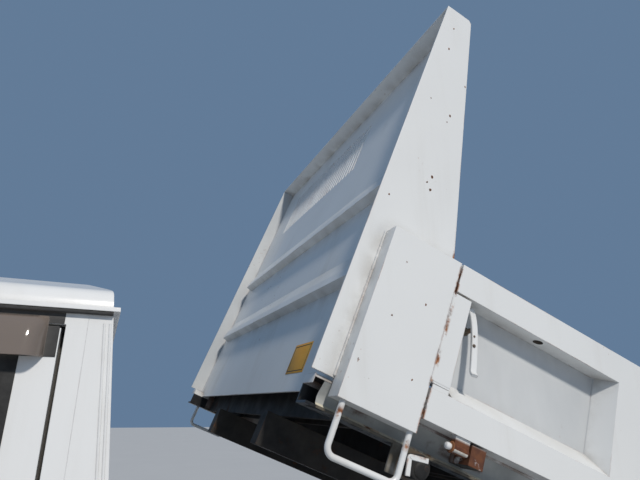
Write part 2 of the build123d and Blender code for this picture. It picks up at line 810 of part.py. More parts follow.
# Side rails of the bed, channels open outwards, with hinge brackets and a stirrup step
SIDE_RAIL_LOW = -30
SIDE_RAIL_FRONT = 40
SIDE_RAIL_W = 58
STEP_R = 7
STEP_W = -110
HINGE_L = 40
HINGE_BLOCK = (-14, 30)
HINGE_ROD_R = 6
HINGE_POSTS = (-365, -1500, -2700)
with BuildPart() as side_rails:
    with BuildSketch(bed_cross(-BED_TAIL)):
        rail_height, rail_level = span(SIDE_RAIL_LOW, SIDE_RAIL_TOP)
        with Locations((SIDE_RAIL_IN + SIDE_RAIL_W / 2, rail_level)):
            Rectangle(SIDE_RAIL_W, rail_height)
        with Locations((SIDE_RAIL_IN + SIDE_RAIL_W / 2 + 6, rail_level)):
            Rectangle(SIDE_RAIL_W, rail_height - 12, mode=Mode.SUBTRACT)
    extrude(amount=BED_TAIL + SIDE_RAIL_FRONT)
    hinge_height, hinge_level = span(*HINGE_BLOCK)
    for u in HINGE_POSTS:
        with BuildSketch(bed_side(HINGE_V + 10)):
            with Locations((u, hinge_level)):
                Rectangle(HINGE_L, hinge_height)
        extrude(amount=HINGE_V + 10 - SIDE_RAIL_IN)
        with BuildSketch(bed_cross(u)):
            with Locations((HINGE_V, HINGE_W)):
                Circle(HINGE_ROD_R)
        extrude(amount=HINGE_L * 2)
    mirror(about=Plane.XZ)
with BuildPart() as stirrup_steps:
    with BuildLine(bed_side(HINGE_V)) as step_path:
        FilletPolyline((-20, 0), (-20, STEP_W), (-190, STEP_W), (-190, 0), radius=20)
    with BuildSketch(Plane(origin=step_path.line @ 0, z_dir=step_path.line % 0)):
        Circle(STEP_R)
    sweep()
    mirror(about=Plane.XZ)

# Rubber buffer on its bracket behind the step
with BuildPart() as rubber_buffers:
    with BuildSketch(bed_side(SIDE_RAIL_IN + SIDE_RAIL_W)):
        with Locations((-240, -58)):
            Circle(26)
    extrude(amount=-40)
    mirror(about=Plane.XZ)
with BuildPart() as buffer_brackets:
    with BuildSketch(bed_side(SIDE_RAIL_IN + SIDE_RAIL_W)):
        with Locations((-225, SIDE_RAIL_LOW - 30)):
            Rectangle(80, 60)
    extrude(amount=5)
    mirror(about=Plane.XZ)

# Corner posts, with a strip each that fills the gate's end between its rails, clear of the
# bottom rail as it swings.
# Columns: front u, rear u, low w, high w, thickness
RAIL_SWING = hypot(GATE_T - (BED_HALF - HINGE_V), GATE_BOTTOM_RAIL - HINGE_W)
STRIP_LOW = HINGE_W + RAIL_SWING + CLEAR
STRIP_HIGH = GATE_TOP_RAIL - GATE_GAP
POSTS = (
    (0, -POST_L, 0, POST_H, POST_T - FIT),
    (-POST_L, -POST_L - GATE_END, STRIP_LOW, STRIP_HIGH, POST_T - FIT),
    (-BED_TAIL + REAR_POST_L, -BED_TAIL, 0, TAIL_PIN_W + 22, REAR_POST_T),
    (-BED_TAIL + REAR_POST_L + GATE_END, -BED_TAIL + REAR_POST_L, STRIP_LOW, STRIP_HIGH, POST_T - FIT),
)
with BuildPart() as bed_posts:
    for front, rear, low, high, thickness in POSTS:
        with BuildSketch(bed_side(BED_HALF)):
            post_length, post_mid = span(rear, front)
            post_height, post_level = span(low, high)
            with Locations((post_mid, post_level)):
                Rectangle(post_length, post_height)
        extrude(amount=thickness)
    with BuildSketch(bed_side(BED_HALF)):
        with Locations((-BED_TAIL + TAILGATE_T / 2, TAIL_PIN_W)):
            Circle(TAIL_PIN_R + FIT)
    extrude(amount=REAR_POST_T, mode=Mode.SUBTRACT)
    mirror(about=Plane.XZ)

# Headboard: a pan open to the front, with pressed ribs, a grille and a wing each side
RIB_H = 100
RIB_D = 28
RIBS = (300, 590)
SLOT_PITCH = 30
SLOT_W = 14
SLOT_RIGHT = -570
SLOT_LEFT = 270
SLOT_LOW = 900
SLOT_HIGH = 1130
with BuildPart() as headboard:
    with BuildSketch(bed_cross(-BOARD_T)):
        board_height, board_level = span(16, BOARD_TOP)
        with Locations((0, board_level)):
            Rectangle(2 * BOARD_HALF, board_height)
    extrude(amount=BOARD_T)
    with BuildSketch(bed_side(BOARD_HALF)):
        with Locations((BOARD_FLANGE / 2 - BOARD_T / 2, BOARD_TOP - BOARD_T / 2)):
            Rectangle(BOARD_FLANGE + BOARD_T, BOARD_T)
    extrude(amount=2 * BOARD_HALF)
    for low in RIBS:
        with BuildSketch(bed_side(BOARD_HALF - 70)):
            with BuildLine():
                Polyline((0, low), (RIB_D, low + 8), (RIB_D - 6, low + 40), (0, low + RIB_H), close=True)
            make_face()
        extrude(amount=2 * (BOARD_HALF - 70))
    with BuildSketch(bed_cross(-BOARD_T - 1)):
        slots = int((SLOT_LEFT - SLOT_RIGHT) / SLOT_PITCH)
        slot_height, slot_level = span(SLOT_LOW, SLOT_HIGH)
        with Locations(((SLOT_LEFT + SLOT_RIGHT) / 2, slot_level)):
            with GridLocations(SLOT_PITCH, 1, slots, 1):
                Rectangle(SLOT_W, slot_height)
    extrude(amount=BOARD_T + 2, mode=Mode.SUBTRACT)
with BuildPart() as headboard_wings:
    with BuildSketch(bed_side(BOARD_HALF)):
        with BuildLine():
            Polyline(
                (BOARD_FLANGE, BOARD_FOOT),
                (BOARD_FLANGE, BOARD_TOP),
                (-26, BOARD_TOP),
                (-36, BOARD_TOP - 10),
                (-WING_TOE, 457),
                (-WING_TOE, BOARD_FOOT),
                close=True,
            )
        make_face()
    extrude(amount=BOARD_T)
    mirror(about=Plane.XZ)
with BuildPart() as headboard_cut:
    add(headboard.part)
    with BuildSketch(bed_cross(-BOARD_T)):
        for side in (1, -1):
            with Locations((side * (SIDE_RAIL_IN + SIDE_RAIL_W / 2), 0)):
                Rectangle(SIDE_RAIL_W + 20, 2 * SIDE_RAIL_TOP)
    extrude(amount=BOARD_T, mode=Mode.SUBTRACT)
    with BuildSketch(bed_side(BED_HALF)):
        with Locations((0, BOARD_TOP / 2)):
            Rectangle(600, 2 * BOARD_TOP)
    extrude(amount=BED_HALF - BOARD_HALF + BOARD_T, mode=Mode.SUBTRACT)
    with BuildSketch(bed_side(-BOARD_HALF + BOARD_T)):
        with Locations((0, BOARD_TOP / 2)):
            Rectangle(600, 2 * BOARD_TOP)
    extrude(amount=BED_HALF - BOARD_HALF + BOARD_T, mode=Mode.SUBTRACT)

# Side gate: a skin between two rails, open at its ends, with wide stiffeners pressed outwards
GATE_FRONT = -POST_L - GATE_GAP
GATE_REAR = -BED_TAIL + REAR_POST_L + GATE_GAP
SKIN_FRONT = GATE_FRONT - GATE_END - CLEAR
SKIN_REAR = GATE_REAR + GATE_END + CLEAR
PANEL_V = BED_HALF - GATE_T + GATE_SKIN
STIFFENERS = 3
FLANK_L = 32
SLOPE_H = 40
with BuildPart() as side_gate_left:
    gate_length, gate_mid = span(GATE_REAR, GATE_FRONT)
    gate_height, gate_level = span(GATE_FOOT, POST_H)
    with BuildSketch(bed_side(BED_HALF)):
        with Locations((gate_mid, gate_level)):
            Rectangle(gate_length, gate_height)
    extrude(amount=GATE_T)
    panel_height, panel_level = span(GATE_BOTTOM_RAIL, GATE_TOP_RAIL)
    with BuildSketch(bed_side(BED_HALF)):
        with Locations((gate_mid, panel_level)):
            Rectangle(gate_length, panel_height)
    extrude(amount=GATE_T - GATE_SKIN, mode=Mode.SUBTRACT)
    with BuildSketch(bed_side(BED_HALF)):
        for end, skin in ((GATE_FRONT, SKIN_FRONT), (GATE_REAR, SKIN_REAR)):
            end_length, end_mid = span(min(end, skin), max(end, skin))
            with Locations((end_mid, panel_level)):
                Rectangle(end_length, panel_height)
    extrude(amount=GATE_T, mode=Mode.SUBTRACT)
    with BuildSketch(bed_cross(SKIN_REAR)):
        with BuildLine():
            Polyline(
                (BED_HALF, GATE_BOTTOM_RAIL),
                (PANEL_V, GATE_BOTTOM_RAIL + SLOPE_H),
                (PANEL_V - GATE_SKIN / 2, GATE_BOTTOM_RAIL),
                close=True,
            )
        make_face()
    extrude(amount=SKIN_FRONT - SKIN_REAR)
    for i in range(STIFFENERS):
        front = -(i + 1) * STIFFENER_PITCH
        with BuildSketch(bed_level(GATE_BOTTOM_RAIL)):
            with BuildLine():
                Polyline(
                    (front + FLANK_L, PANEL_V),
                    (front, BED_HALF),
                    (front - STIFFENER_W, BED_HALF),
                    (front - STIFFENER_W - FLANK_L, PANEL_V),
                    (front - STIFFENER_W - FLANK_L, PANEL_V - GATE_SKIN / 2),
                    (front + FLANK_L, PANEL_V - GATE_SKIN / 2),
                    close=True,
                )
            make_face()
        extrude(amount=panel_height)
    for u in HINGE_POSTS:
        with BuildSketch(bed_cross(u + HINGE_L / 2 + CLEAR)):
            with Locations((HINGE_V, HINGE_W)):
                Circle(11)
            with Locations((HINGE_V, (HINGE_W + GATE_FOOT) / 2)):
                Rectangle(16, GATE_FOOT - HINGE_W)
            with Locations((HINGE_V, HINGE_W)):
                Circle(HINGE_ROD_R + FIT, mode=Mode.SUBTRACT)
        extrude(amount=HINGE_L)
with BuildPart() as side_gate_right:
    mirror(side_gate_left.part, about=Plane.XZ)

# Tailgate, hung from two pins at the top of the rear posts
TAIL_HALF = BED_HALF - REAR_POST_T - CLEAR
with BuildPart() as tailgate:
    with BuildSketch(bed_side(TAIL_HALF)):
        tail_height, tail_level = span(FLOOR_UNDER, TAIL_PIN_W + 20)
        with Locations((-BED_TAIL + TAILGATE_T / 2, tail_level)):
            Rectangle(TAILGATE_T, tail_height)
    extrude(amount=2 * TAIL_HALF)
    with BuildSketch(bed_cross(-BED_TAIL)):
        with Locations((0, (GATE_BOTTOM_RAIL + GATE_TOP_RAIL) / 2)):
            with GridLocations(500, 1, 3, 1):
                Rectangle(400, GATE_TOP_RAIL - GATE_BOTTOM_RAIL)
    extrude(amount=TAILGATE_T - GATE_SKIN, mode=Mode.SUBTRACT)
    with BuildSketch(bed_side(BED_HALF - 2)):
        with Locations((-BED_TAIL + TAILGATE_T / 2, TAIL_PIN_W)):
            Circle(TAIL_PIN_R)
    extrude(amount=2 * BED_HALF - 4)

# Hoist: barrel on the frame's cross tube, rod up to the bed
eye_at = HINGE + BED_DIR * EYE_REACH
foot_at = Vector(HOIST_X, 0, HOIST_Z)
STROKE_DIR = (eye_at - foot_at).normalized()
HOIST_L = (eye_at - foot_at).length


def hoist_side(y):
    """Plane beside the cylinder, drawn along it from its foot pin."""
    return Plane(origin=foot_at + Vector(0, y, 0), x_dir=STROKE_DIR, z_dir=(0, -1, 0))


def hoist_cross(reach):
    """Plane across the cylinder at a distance from its foot pin."""
    return Plane(origin=foot_at + STROKE_DIR * reach, x_dir=(0, 1, 0), z_dir=STROKE_DIR)


with BuildPart() as hoist_barrel:
    with BuildSketch(hoist_side(40)):
        Circle(44)
        with Locations((40, 0)):
            Rectangle(80, 70)
    extrude(amount=80)
    with BuildSketch(hoist_cross(60)):
        Circle(BARREL_R)
    extrude(amount=BARREL_L - 60)
    with BuildSketch(hoist_side(40)):
        Circle(24 + FIT)
    extrude(amount=80, mode=Mode.SUBTRACT)
    with BuildSketch(hoist_cross(110)):
        Circle(ROD_R + FIT)
    extrude(amount=BARREL_L - 110, mode=Mode.SUBTRACT)
with BuildPart() as hoist_rod:
    with BuildSketch(hoist_cross(HOIST_L - 900)):
        Circle(ROD_R)
    extrude(amount=870)
    with BuildSketch(hoist_side(30)):
        with Locations((HOIST_L, 0)):
            Circle(38)
            Circle(20, mode=Mode.SUBTRACT)
    extrude(amount=60)

# Cab: one form drawn from the side, from the front and from above
SCREEN_TOP = (2115, ROOF_SEAM)
SCREEN_FOOT = (CAB_FRONT - 17, BELT_Z)


def cab_form(inset):
    """The form of the cab, drawn in by inset on every face but the foot."""
    foot = CAB_BOTTOM - inset
    with BuildPart() as form:
        with BuildSketch(Plane.XZ):
            with BuildLine():
                FilletPolyline(
                    (CAB_BACK, foot),
                    (CAB_BACK, 1500),
                    (1056, CAB_TOP - 40),
                    (1120, CAB_TOP),
                    (1900, CAB_TOP),
                    SCREEN_TOP,
                    SCREEN_FOOT,
                    (CAB_FRONT, 1150),
                    (CAB_FRONT - 8, foot),
                    radius=(30, 30, 60, 200, 120, 40, 200),
                )
                Line((CAB_FRONT - 8, foot), (CAB_BACK, foot))
            make_face()
            if inset:
                offset(amount=-inset)
        extrude(amount=CAB_HALF, both=True)
        with BuildSketch(Plane.YZ.offset(CAB_BACK)):
            with BuildLine():
                side = FilletPolyline(
                    (0, foot),
                    (CAB_HALF - 25, foot),
                    (CAB_HALF, 1000),
                    (CAB_HALF, 1240),
                    (CAB_HALF - 44, ROOF_SEAM),
                    (CAB_HALF - 50, CAB_TOP - 50),
                    (CAB_HALF - 240, CAB_TOP),
                    (0, CAB_TOP + 10),
                    radius=(10, 200, 200, 20, 45, 300),
                )
                mirror(side, about=Plane.YZ)
            make_face()
            if inset:
                offset(amount=-inset)
        extrude(amount=CAB_FRONT - CAB_BACK, mode=Mode.INTERSECT)
        with BuildSketch(Plane.XY.offset(foot)):
            with BuildLine():
                plan = FilletPolyline(
                    (CAB_BACK, 0),
                    (CAB_BACK, CAB_HALF),
                    (DOOR_FRONT + 80, CAB_HALF),
                    (CAB_FRONT - 30, 690),
                    (CAB_FRONT, 0),
                    radius=(35, 120, 140),
                )
                mirror(plan, about=Plane.XZ)
            make_face()
            if inset:
                offset(amount=-inset)
        extrude(amount=CAB_TOP, mode=Mode.INTERSECT)
    return form.part


def cab_prism(points, inset=0, y_from=-CAB_HALF, y_to=CAB_HALF):
    """A prism across the cab from a side outline in (x, z)."""
    with BuildPart() as body:
        with BuildSketch(side_plane(y_to)):
            with BuildLine():
                Polyline(*points, close=True)
            make_face()
            if inset:
                offset(amount=-inset, kind=Kind.INTERSECTION)
        extrude(amount=y_to - y_from)
    return body.part


def arch():
    """The wheel arch, a drum about the front axle."""
    with BuildPart() as body:
        with BuildSketch(side_plane(CAB_HALF)):
            with Locations((FRONT_AXLE_X, TYRE_R)):
                Circle(ARCH_R)
        extrude(amount=2 * CAB_HALF)
    return body.part


PILLAR = (SCREEN_FOOT[0] - SCREEN_TOP[0]) / (ROOF_SEAM - BELT_Z)
DOOR_TOP_FRONT = DOOR_FRONT - PILLAR * (DOOR_TOP - BELT_Z)
DOOR_OUTLINE = (
    (DOOR_REAR, CAB_BOTTOM - 50),
    (DOOR_REAR, DOOR_TOP),
    (DOOR_TOP_FRONT, DOOR_TOP),
    (DOOR_FRONT, BELT_Z),
    (DOOR_FRONT, DOOR_BOTTOM),
    (FRONT_AXLE_X + 150, DOOR_BOTTOM),
    (FRONT_AXLE_X + 150, CAB_BOTTOM - 50),
)
WINDOW_OUTLINE = (
    (DOOR_REAR + 68, BELT_Z + 20),
    (DOOR_REAR + 68, DOOR_TOP - 40),
    (DOOR_TOP_FRONT - 60, DOOR_TOP - 40),
    (DOOR_FRONT - 90, BELT_Z + 20),
)
FRONT_LINE = (
    (DOOR_FRONT, CAB_BOTTOM - 10),
    (DOOR_FRONT, BELT_Z),
    (DOOR_FRONT - PILLAR * (ROOF_SEAM - BELT_Z), ROOF_SEAM),
    (CAB_FRONT + 50, ROOF_SEAM),
    (CAB_FRONT + 50, CAB_BOTTOM - 10),
)
BACK_LINE = (
    (CAB_BACK - 50, CAB_BOTTOM - 10),
    (CAB_BACK - 50, ROOF_SEAM),
    (CAB_BACK + 80, ROOF_SEAM),
    (CAB_BACK + 80, CAB_BOTTOM - 10),
)
DRIP_OUT = 12
DRIP_H = 8
GLASS_T = 6
GLASS_IN = 18
FRAME_ROOM = RAIL_OUT + 70

with BuildPart() as cab_shell:
    add(cab_form(0))
    add(cab_form(CAB_WALL), mode=Mode.SUBTRACT)
    with BuildSketch(Plane.XY.offset(CAB_BOTTOM)):
        with Locations(((CAB_BACK + CAB_FRONT) / 2, 0)):
            Rectangle(2 * (CAB_FRONT - CAB_BACK), 2 * FRAME_ROOM)
    extrude(amount=FLOOR_Z - FLOOR_PLATE - CAB_BOTTOM, mode=Mode.SUBTRACT)
    with BuildSketch(Plane.XY.offset(CAB_BOTTOM)):
        with Locations((CAB_BACK, 0)):
            Rectangle(4 * CAB_WALL, 2 * FRAME_ROOM)
    extrude(amount=DECK_Z - FLOOR_PLATE - CAB_BOTTOM, mode=Mode.SUBTRACT)
    add(arch(), mode=Mode.SUBTRACT)
with BuildPart() as glass_layer:
    add(cab_form(GLASS_IN))
    add(cab_form(GLASS_IN + GLASS_T), mode=Mode.SUBTRACT)

with BuildPart() as cab_roof:
    add(cab_shell.part)
    split(bisect_by=Plane.XY.offset(ROOF_SEAM), keep=Keep.TOP)
with BuildPart() as drip_rail:
    add(cab_form(-DRIP_OUT))
    split(bisect_by=Plane.XY.offset(ROOF_SEAM), keep=Keep.TOP)
    split(bisect_by=Plane.XY.offset(ROOF_SEAM + DRIP_H), keep=Keep.BOTTOM)
    add(cab_form(CAB_WALL / 2), mode=Mode.SUBTRACT)

# Door hinges: a barrel on the door above each split, one on the front panel below it
DOOR_HINGES = (790, 1190)
DOOR_BARREL_R = 9
DOOR_BARREL_H = 32
DOOR_PIN_R = 5
DOOR_LEAF_T = 24
DOOR_LEAF_L = 40


def door_hinge(side, up, bore):
    """Leaves and barrels before (1) or behind (-1) the axis, above (1) or below (-1) each split."""
    with BuildPart() as body:
        for z in DOOR_HINGES:
            with BuildSketch(Plane.XY.offset(z + up * FIT)):
                with Locations((DOOR_FRONT + side * (DOOR_PIN_R + DOOR_LEAF_L / 2), CAB_HALF - DOOR_LEAF_T / 3)):
                    Rectangle(DOOR_LEAF_L, DOOR_LEAF_T)
                with Locations((DOOR_FRONT, CAB_HALF)):
                    Circle(DOOR_BARREL_R)
                    if bore:
                        Circle(bore, mode=Mode.SUBTRACT)
            extrude(amount=up * DOOR_BARREL_H)
    return body.part


def door_sockets():
    """The room about the hinge barrels."""
    with BuildPart() as body:
        for z in DOOR_HINGES:
            with BuildSketch(Plane.XY.offset(z - DOOR_BARREL_H - CLEAR)):
                with Locations((DOOR_FRONT, CAB_HALF)):
                    Circle(DOOR_BARREL_R + CLEAR)
            extrude(amount=2 * (DOOR_BARREL_H + CLEAR))
        mirror(about=Plane.XZ)
    return body.part


SCREEN_HALF = 690
LAMP_Y = 590
LAMP_Z = 760
LAMP_W = 250
LAMP_H = 150
SCREEN_H = (BELT_Z + 30, ROOF_SEAM - 40)
REAR_WINDOW_HALF = 560
REAR_WINDOW_H = (BELT_Z + 50, DOOR_TOP - 60)
with BuildPart() as cab_front_panel:
    add(cab_shell.part)
    add(cab_prism(FRONT_LINE), mode=Mode.INTERSECT)
    with BuildSketch(Plane.YZ.offset(DOOR_FRONT - 250)):
        height, level = span(*SCREEN_H)
        with Locations((0, level)):
            RectangleRounded(2 * SCREEN_HALF, height, 60)
    extrude(amount=800, mode=Mode.SUBTRACT)
    with BuildSketch(Plane.YZ.offset(DOOR_FRONT)):
        with Locations((LAMP_Y, LAMP_Z), (-LAMP_Y, LAMP_Z)):
            RectangleRounded(LAMP_W + 2 * FIT, LAMP_H + 2 * FIT, 25)
    extrude(amount=400, mode=Mode.SUBTRACT)
    add(door_sockets(), mode=Mode.SUBTRACT)
with BuildPart() as cab_back_panel:
    add(cab_shell.part)
    add(cab_prism(BACK_LINE), mode=Mode.INTERSECT)
    with BuildSketch(Plane.YZ.offset(CAB_BACK - 50)):
        height, level = span(*REAR_WINDOW_H)
        with Locations((0, level)):
            RectangleRounded(2 * REAR_WINDOW_HALF, height, 50)
    extrude(amount=200, mode=Mode.SUBTRACT)
with BuildPart() as cab_sides:
    add(cab_shell.part)
    add(cab_prism(FRONT_LINE), mode=Mode.SUBTRACT)
    add(cab_prism(BACK_LINE), mode=Mode.SUBTRACT)
    add(cab_prism(DOOR_OUTLINE), mode=Mode.SUBTRACT)
    split(bisect_by=Plane.XY.offset(ROOF_SEAM), keep=Keep.BOTTOM)
with BuildPart() as door_left:
    add(cab_shell.part)
    add(cab_prism(DOOR_OUTLINE, inset=DOOR_GAP, y_from=300), mode=Mode.INTERSECT)
    add(cab_prism(WINDOW_OUTLINE), mode=Mode.SUBTRACT)
    add(door_sockets(), mode=Mode.SUBTRACT)
    add(door_hinge(-1, 1, DOOR_PIN_R + FIT))
with BuildPart() as door_right:
    mirror(door_left.part, about=Plane.XZ)
with BuildPart() as door_pins:
    add(door_hinge(1, -1, 0))
    for z in DOOR_HINGES:
        with BuildSketch(Plane.XY.offset(z - DOOR_BARREL_H)):
            with Locations((DOOR_FRONT, CAB_HALF)):
                Circle(DOOR_PIN_R)
        extrude(amount=2 * DOOR_BARREL_H)
    add(cab_form(CAB_WALL), mode=Mode.SUBTRACT)
    mirror(about=Plane.XZ)
with BuildPart() as door_glass_left:
    add(glass_layer.part)
    add(cab_prism(WINDOW_OUTLINE, inset=FIT, y_from=300), mode=Mode.INTERSECT)
with BuildPart() as door_glass_right:
    mirror(door_glass_left.part, about=Plane.XZ)
with BuildPart() as cab_glass:
    add(glass_layer.part)
    with BuildSketch(Plane.YZ.offset(DOOR_FRONT - 250)):
        height, level = span(*SCREEN_H)
        with Locations((0, level)):
            RectangleRounded(2 * SCREEN_HALF - 2 * FIT, height - 2 * FIT, 60)
    extrude(amount=800, mode=Mode.INTERSECT)
with BuildPart() as rear_glass:
    add(glass_layer.part)
    with BuildSketch(Plane.YZ.offset(CAB_BACK - 50)):
        height, level = span(*REAR_WINDOW_H)
        with Locations((0, level)):
            RectangleRounded(2 * REAR_WINDOW_HALF - 2 * FIT, height - 2 * FIT, 50)
    extrude(amount=200, mode=Mode.INTERSECT)

# Cab floor: footwell in front, deck over the engine behind, and the tilt lugs
CAB_IN = CAB_HALF - CAB_WALL - 30
with BuildPart() as cab_room:
    add(cab_form(CAB_WALL + FIT))
with BuildPart() as cab_floor:
    with BuildSketch(side_plane(CAB_IN)):
        with BuildLine():
            Polyline(
                (CAB_BACK + CAB_WALL, DECK_Z),
                (DECK_FRONT, DECK_Z),
                (DECK_FRONT, FLOOR_Z),
                (CAB_FRONT - CAB_WALL - 8, FLOOR_Z),
                (CAB_FRONT - CAB_WALL - 8, FLOOR_Z - FLOOR_PLATE),
                (DECK_FRONT - FLOOR_PLATE, FLOOR_Z - FLOOR_PLATE),
                (DECK_FRONT - FLOOR_PLATE, DECK_Z - FLOOR_PLATE),
                (CAB_BACK + CAB_WALL, DECK_Z - FLOOR_PLATE),
                close=True,
            )
        make_face()
    extrude(amount=2 * CAB_IN)
    add(cab_room.part, mode=Mode.INTERSECT)
with BuildPart() as cab_tilt_lugs:
    with BuildSketch(side_plane(RAIL_OUT + TILT_PLATE_T + TILT_LUG_GAP + TILT_LUG_T)):
        with Locations((TILT_X, TILT_Z)):
            Circle(26)
        with Locations((TILT_X - 75, FLOOR_Z - FLOOR_PLATE - 10)):
            Rectangle(60, 20)
        make_hull()
        with Locations((TILT_X, TILT_Z)):
            Circle(TILT_PIN_R + FIT, mode=Mode.SUBTRACT)
    extrude(amount=TILT_LUG_T)
    mirror(about=Plane.XZ)

# Headlamps and a slatted grille in the front panel
with BuildPart() as headlamps:
    add(cab_form(4))
    add(cab_form(CAB_WALL), mode=Mode.SUBTRACT)
    with BuildSketch(Plane.YZ.offset(DOOR_FRONT)):
        with Locations((LAMP_Y, LAMP_Z), (-LAMP_Y, LAMP_Z)):
            RectangleRounded(LAMP_W, LAMP_H, 25)
    extrude(amount=400, mode=Mode.INTERSECT)

# Seats, dashboard, steering wheel
with BuildPart() as seats:
    for y, width in ((480, 470), (-20, 400), (-480, 470)):
        with BuildSketch(side_plane(y + width / 2)):
            with BuildLine():
                FilletPolyline(
                    (1180, DECK_Z + FIT),
                    (1720, DECK_Z + FIT),
                    (1740, DECK_Z + 140),
                    (1330, DECK_Z + 120),
                    (1250, DECK_Z + 640),
                    (1140, DECK_Z + 640),
                    radius=(30, 30, 40, 30, 40, 40),
                    close=True,
                )
            make_face()
        extrude(amount=width)
with BuildPart() as dashboard:
    with BuildSketch(side_plane(CAB_IN - 20)):
        with BuildLine():
            Polyline((2050, 1180), (2050, 1040), (2150, 960), (2280, 960), (2280, 1240), (2120, 1260), close=True)
        make_face()
    extrude(amount=2 * (CAB_IN - 20))
    add(cab_room.part, mode=Mode.INTERSECT)
WHEEL_AT = Vector(1900, -400, 1230)
COLUMN_DIR = Vector(0.42, 0, -0.91)
with BuildPart() as steering_wheel:
    with BuildSketch(Plane(origin=WHEEL_AT, x_dir=(0, 1, 0), z_dir=COLUMN_DIR)):
        Circle(205)
        Circle(180, mode=Mode.SUBTRACT)
        Rectangle(370, 30)
        Circle(50)
    extrude(amount=24)
    with BuildSketch(Plane(origin=WHEEL_AT, x_dir=(0, 1, 0), z_dir=COLUMN_DIR)):
        Circle(22)
    extrude(amount=(WHEEL_AT.Z - FLOOR_Z) / 0.91 + 30)
    split(bisect_by=Plane.XY.offset(FLOOR_Z), keep=Keep.TOP)

# Door mirrors on arms from the front pillars
with BuildPart() as mirrors:
    with BuildSketch(Plane.YZ.offset(2190)):
        with Locations((CAB_HALF + 110, 1560)):
            RectangleRounded(150, 300, 30)
    extrude(amount=50)
    with BuildSketch(side_plane(CAB_HALF + 60)):
        with Locations((2205, 1640), (2205, 1420)):
            Circle(9)
    extrude(amount=130)
    mirror(about=Plane.XZ)
    add(cab_form(-FIT), mode=Mode.SUBTRACT)

PIECES = {
    "chassis_rails": (chassis_rails,),
    "chassis_cross_members": (chassis_cross_members, cab_tilt_brackets, cab_rest),
    "sub_frame": (sub_frame,),
    "engine": (engine,),
    "propeller_shaft": (propeller_shaft,),
    "front_axle": (front_axle,),
    "knuckle_left": (knuckle_left,),
    "knuckle_right": (knuckle_right,),
    "track_rod": (track_rod,),
    "rear_axle": (rear_axle,),
    "leaf_springs": (leaf_springs,),
    "front_tyre_left": (front_tyre_left,),
    "front_tyre_right": (front_tyre_right,),
    "front_rim_left": (front_rim_left,),
    "front_rim_right": (front_rim_right,),
    "rear_tyres_left": (rear_tyres_left,),
    "rear_tyres_right": (rear_tyres_right,),
    "rear_rims_left": (rear_rims_left,),
    "rear_rims_right": (rear_rims_right,),
    "fuel_tank": (fuel_tank,),
    "battery_box": (battery_box,),
    "exhaust": (exhaust,),
    "front_bumper": (front_bumper,),
    "rear_bar": (rear_bar,),
    "tail_lamps": (tail_lamps,),
    "rear_mudguards": (rear_mudguards,),
    "bed_sills": (bed_sills,),
    "bed_cross_members": (bed_cross_members, hoist_bracket),
    "bed_floor": (bed_floor,),
    "side_rails": (side_rails, buffer_brackets),
    "stirrup_steps": (stirrup_steps,),
    "rubber_buffers": (rubber_buffers,),
    "bed_posts": (bed_posts,),
    "headboard": (headboard_cut, headboard_wings),
    "side_gate_left": (side_gate_left,),
    "side_gate_right": (side_gate_right,),
    "tailgate": (tailgate,),
    "hoist_barrel": (hoist_barrel,),
    "hoist_rod": (hoist_rod,),
    "cab_floor": (cab_floor, cab_tilt_lugs),
    "cab_front_panel": (cab_front_panel, door_pins),
    "cab_sides": (cab_sides,),
    "cab_back_panel": (cab_back_panel,),
    "cab_roof": (cab_roof, drip_rail),
    "cab_glass": (cab_glass, rear_glass),
    "headlamps": (headlamps,),
    "seats": (seats,),
    "dashboard": (dashboard,),
    "steering_wheel": (steering_wheel,),
    "mirrors": (mirrors,),
    "door_left": (door_left,),
    "door_right": (door_right,),
    "door_glass_left": (door_glass_left,),
    "door_glass_right": (door_glass_right,),
}
for name, blocks in PIECES.items():
    with BuildPart() as piece:
        for block in blocks:
            add(block.part)
    piece.part.label = name
    export_step(piece.part, f"parts/{name}.step")
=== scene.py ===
import json
from math import cos, pi, radians, sin

import bmesh
import bpy
from mathutils import Matrix, Vector, noise
from mathutils.bvhtree import BVHTree


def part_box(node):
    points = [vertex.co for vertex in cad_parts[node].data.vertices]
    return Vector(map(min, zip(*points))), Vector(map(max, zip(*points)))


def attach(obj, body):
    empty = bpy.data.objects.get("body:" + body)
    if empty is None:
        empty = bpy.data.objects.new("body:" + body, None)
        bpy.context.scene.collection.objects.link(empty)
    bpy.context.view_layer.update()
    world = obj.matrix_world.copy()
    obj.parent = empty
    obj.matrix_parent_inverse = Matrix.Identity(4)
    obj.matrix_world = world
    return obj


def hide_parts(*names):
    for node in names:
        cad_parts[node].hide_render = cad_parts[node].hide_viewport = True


# Looks of the light dump truck, in metres. +X is forward, +Y the truck's left and +Z up.
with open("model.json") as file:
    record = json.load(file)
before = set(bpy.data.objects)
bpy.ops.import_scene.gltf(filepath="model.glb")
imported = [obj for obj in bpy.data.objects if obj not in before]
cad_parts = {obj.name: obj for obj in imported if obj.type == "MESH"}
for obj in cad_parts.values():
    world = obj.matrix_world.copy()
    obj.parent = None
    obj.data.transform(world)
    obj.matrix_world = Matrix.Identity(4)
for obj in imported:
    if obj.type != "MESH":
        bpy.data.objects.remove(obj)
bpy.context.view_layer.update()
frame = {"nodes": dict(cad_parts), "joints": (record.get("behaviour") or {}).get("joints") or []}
NODES = frame["nodes"]
JOINTS = {joint["name"]: joint for joint in frame["joints"]}

# The bed's own axes: u along its floor to the front, v to the left, w up from the front post's foot
BED_REACH = 2.640
BED_RISE = 0.150
BED_DIR = -Vector(JOINTS["gate_left_drop"]["axis"]).normalized()
BED_UP = Vector((-BED_DIR.z, 0, BED_DIR.x))
BED_FOOT = Vector(JOINTS["bed_tip"]["pos_m"]) + BED_DIR * BED_REACH + BED_UP * BED_RISE
BED = Matrix.Translation(BED_FOOT) @ Matrix((BED_DIR, (0, 1, 0), BED_UP)).transposed().to_4x4()

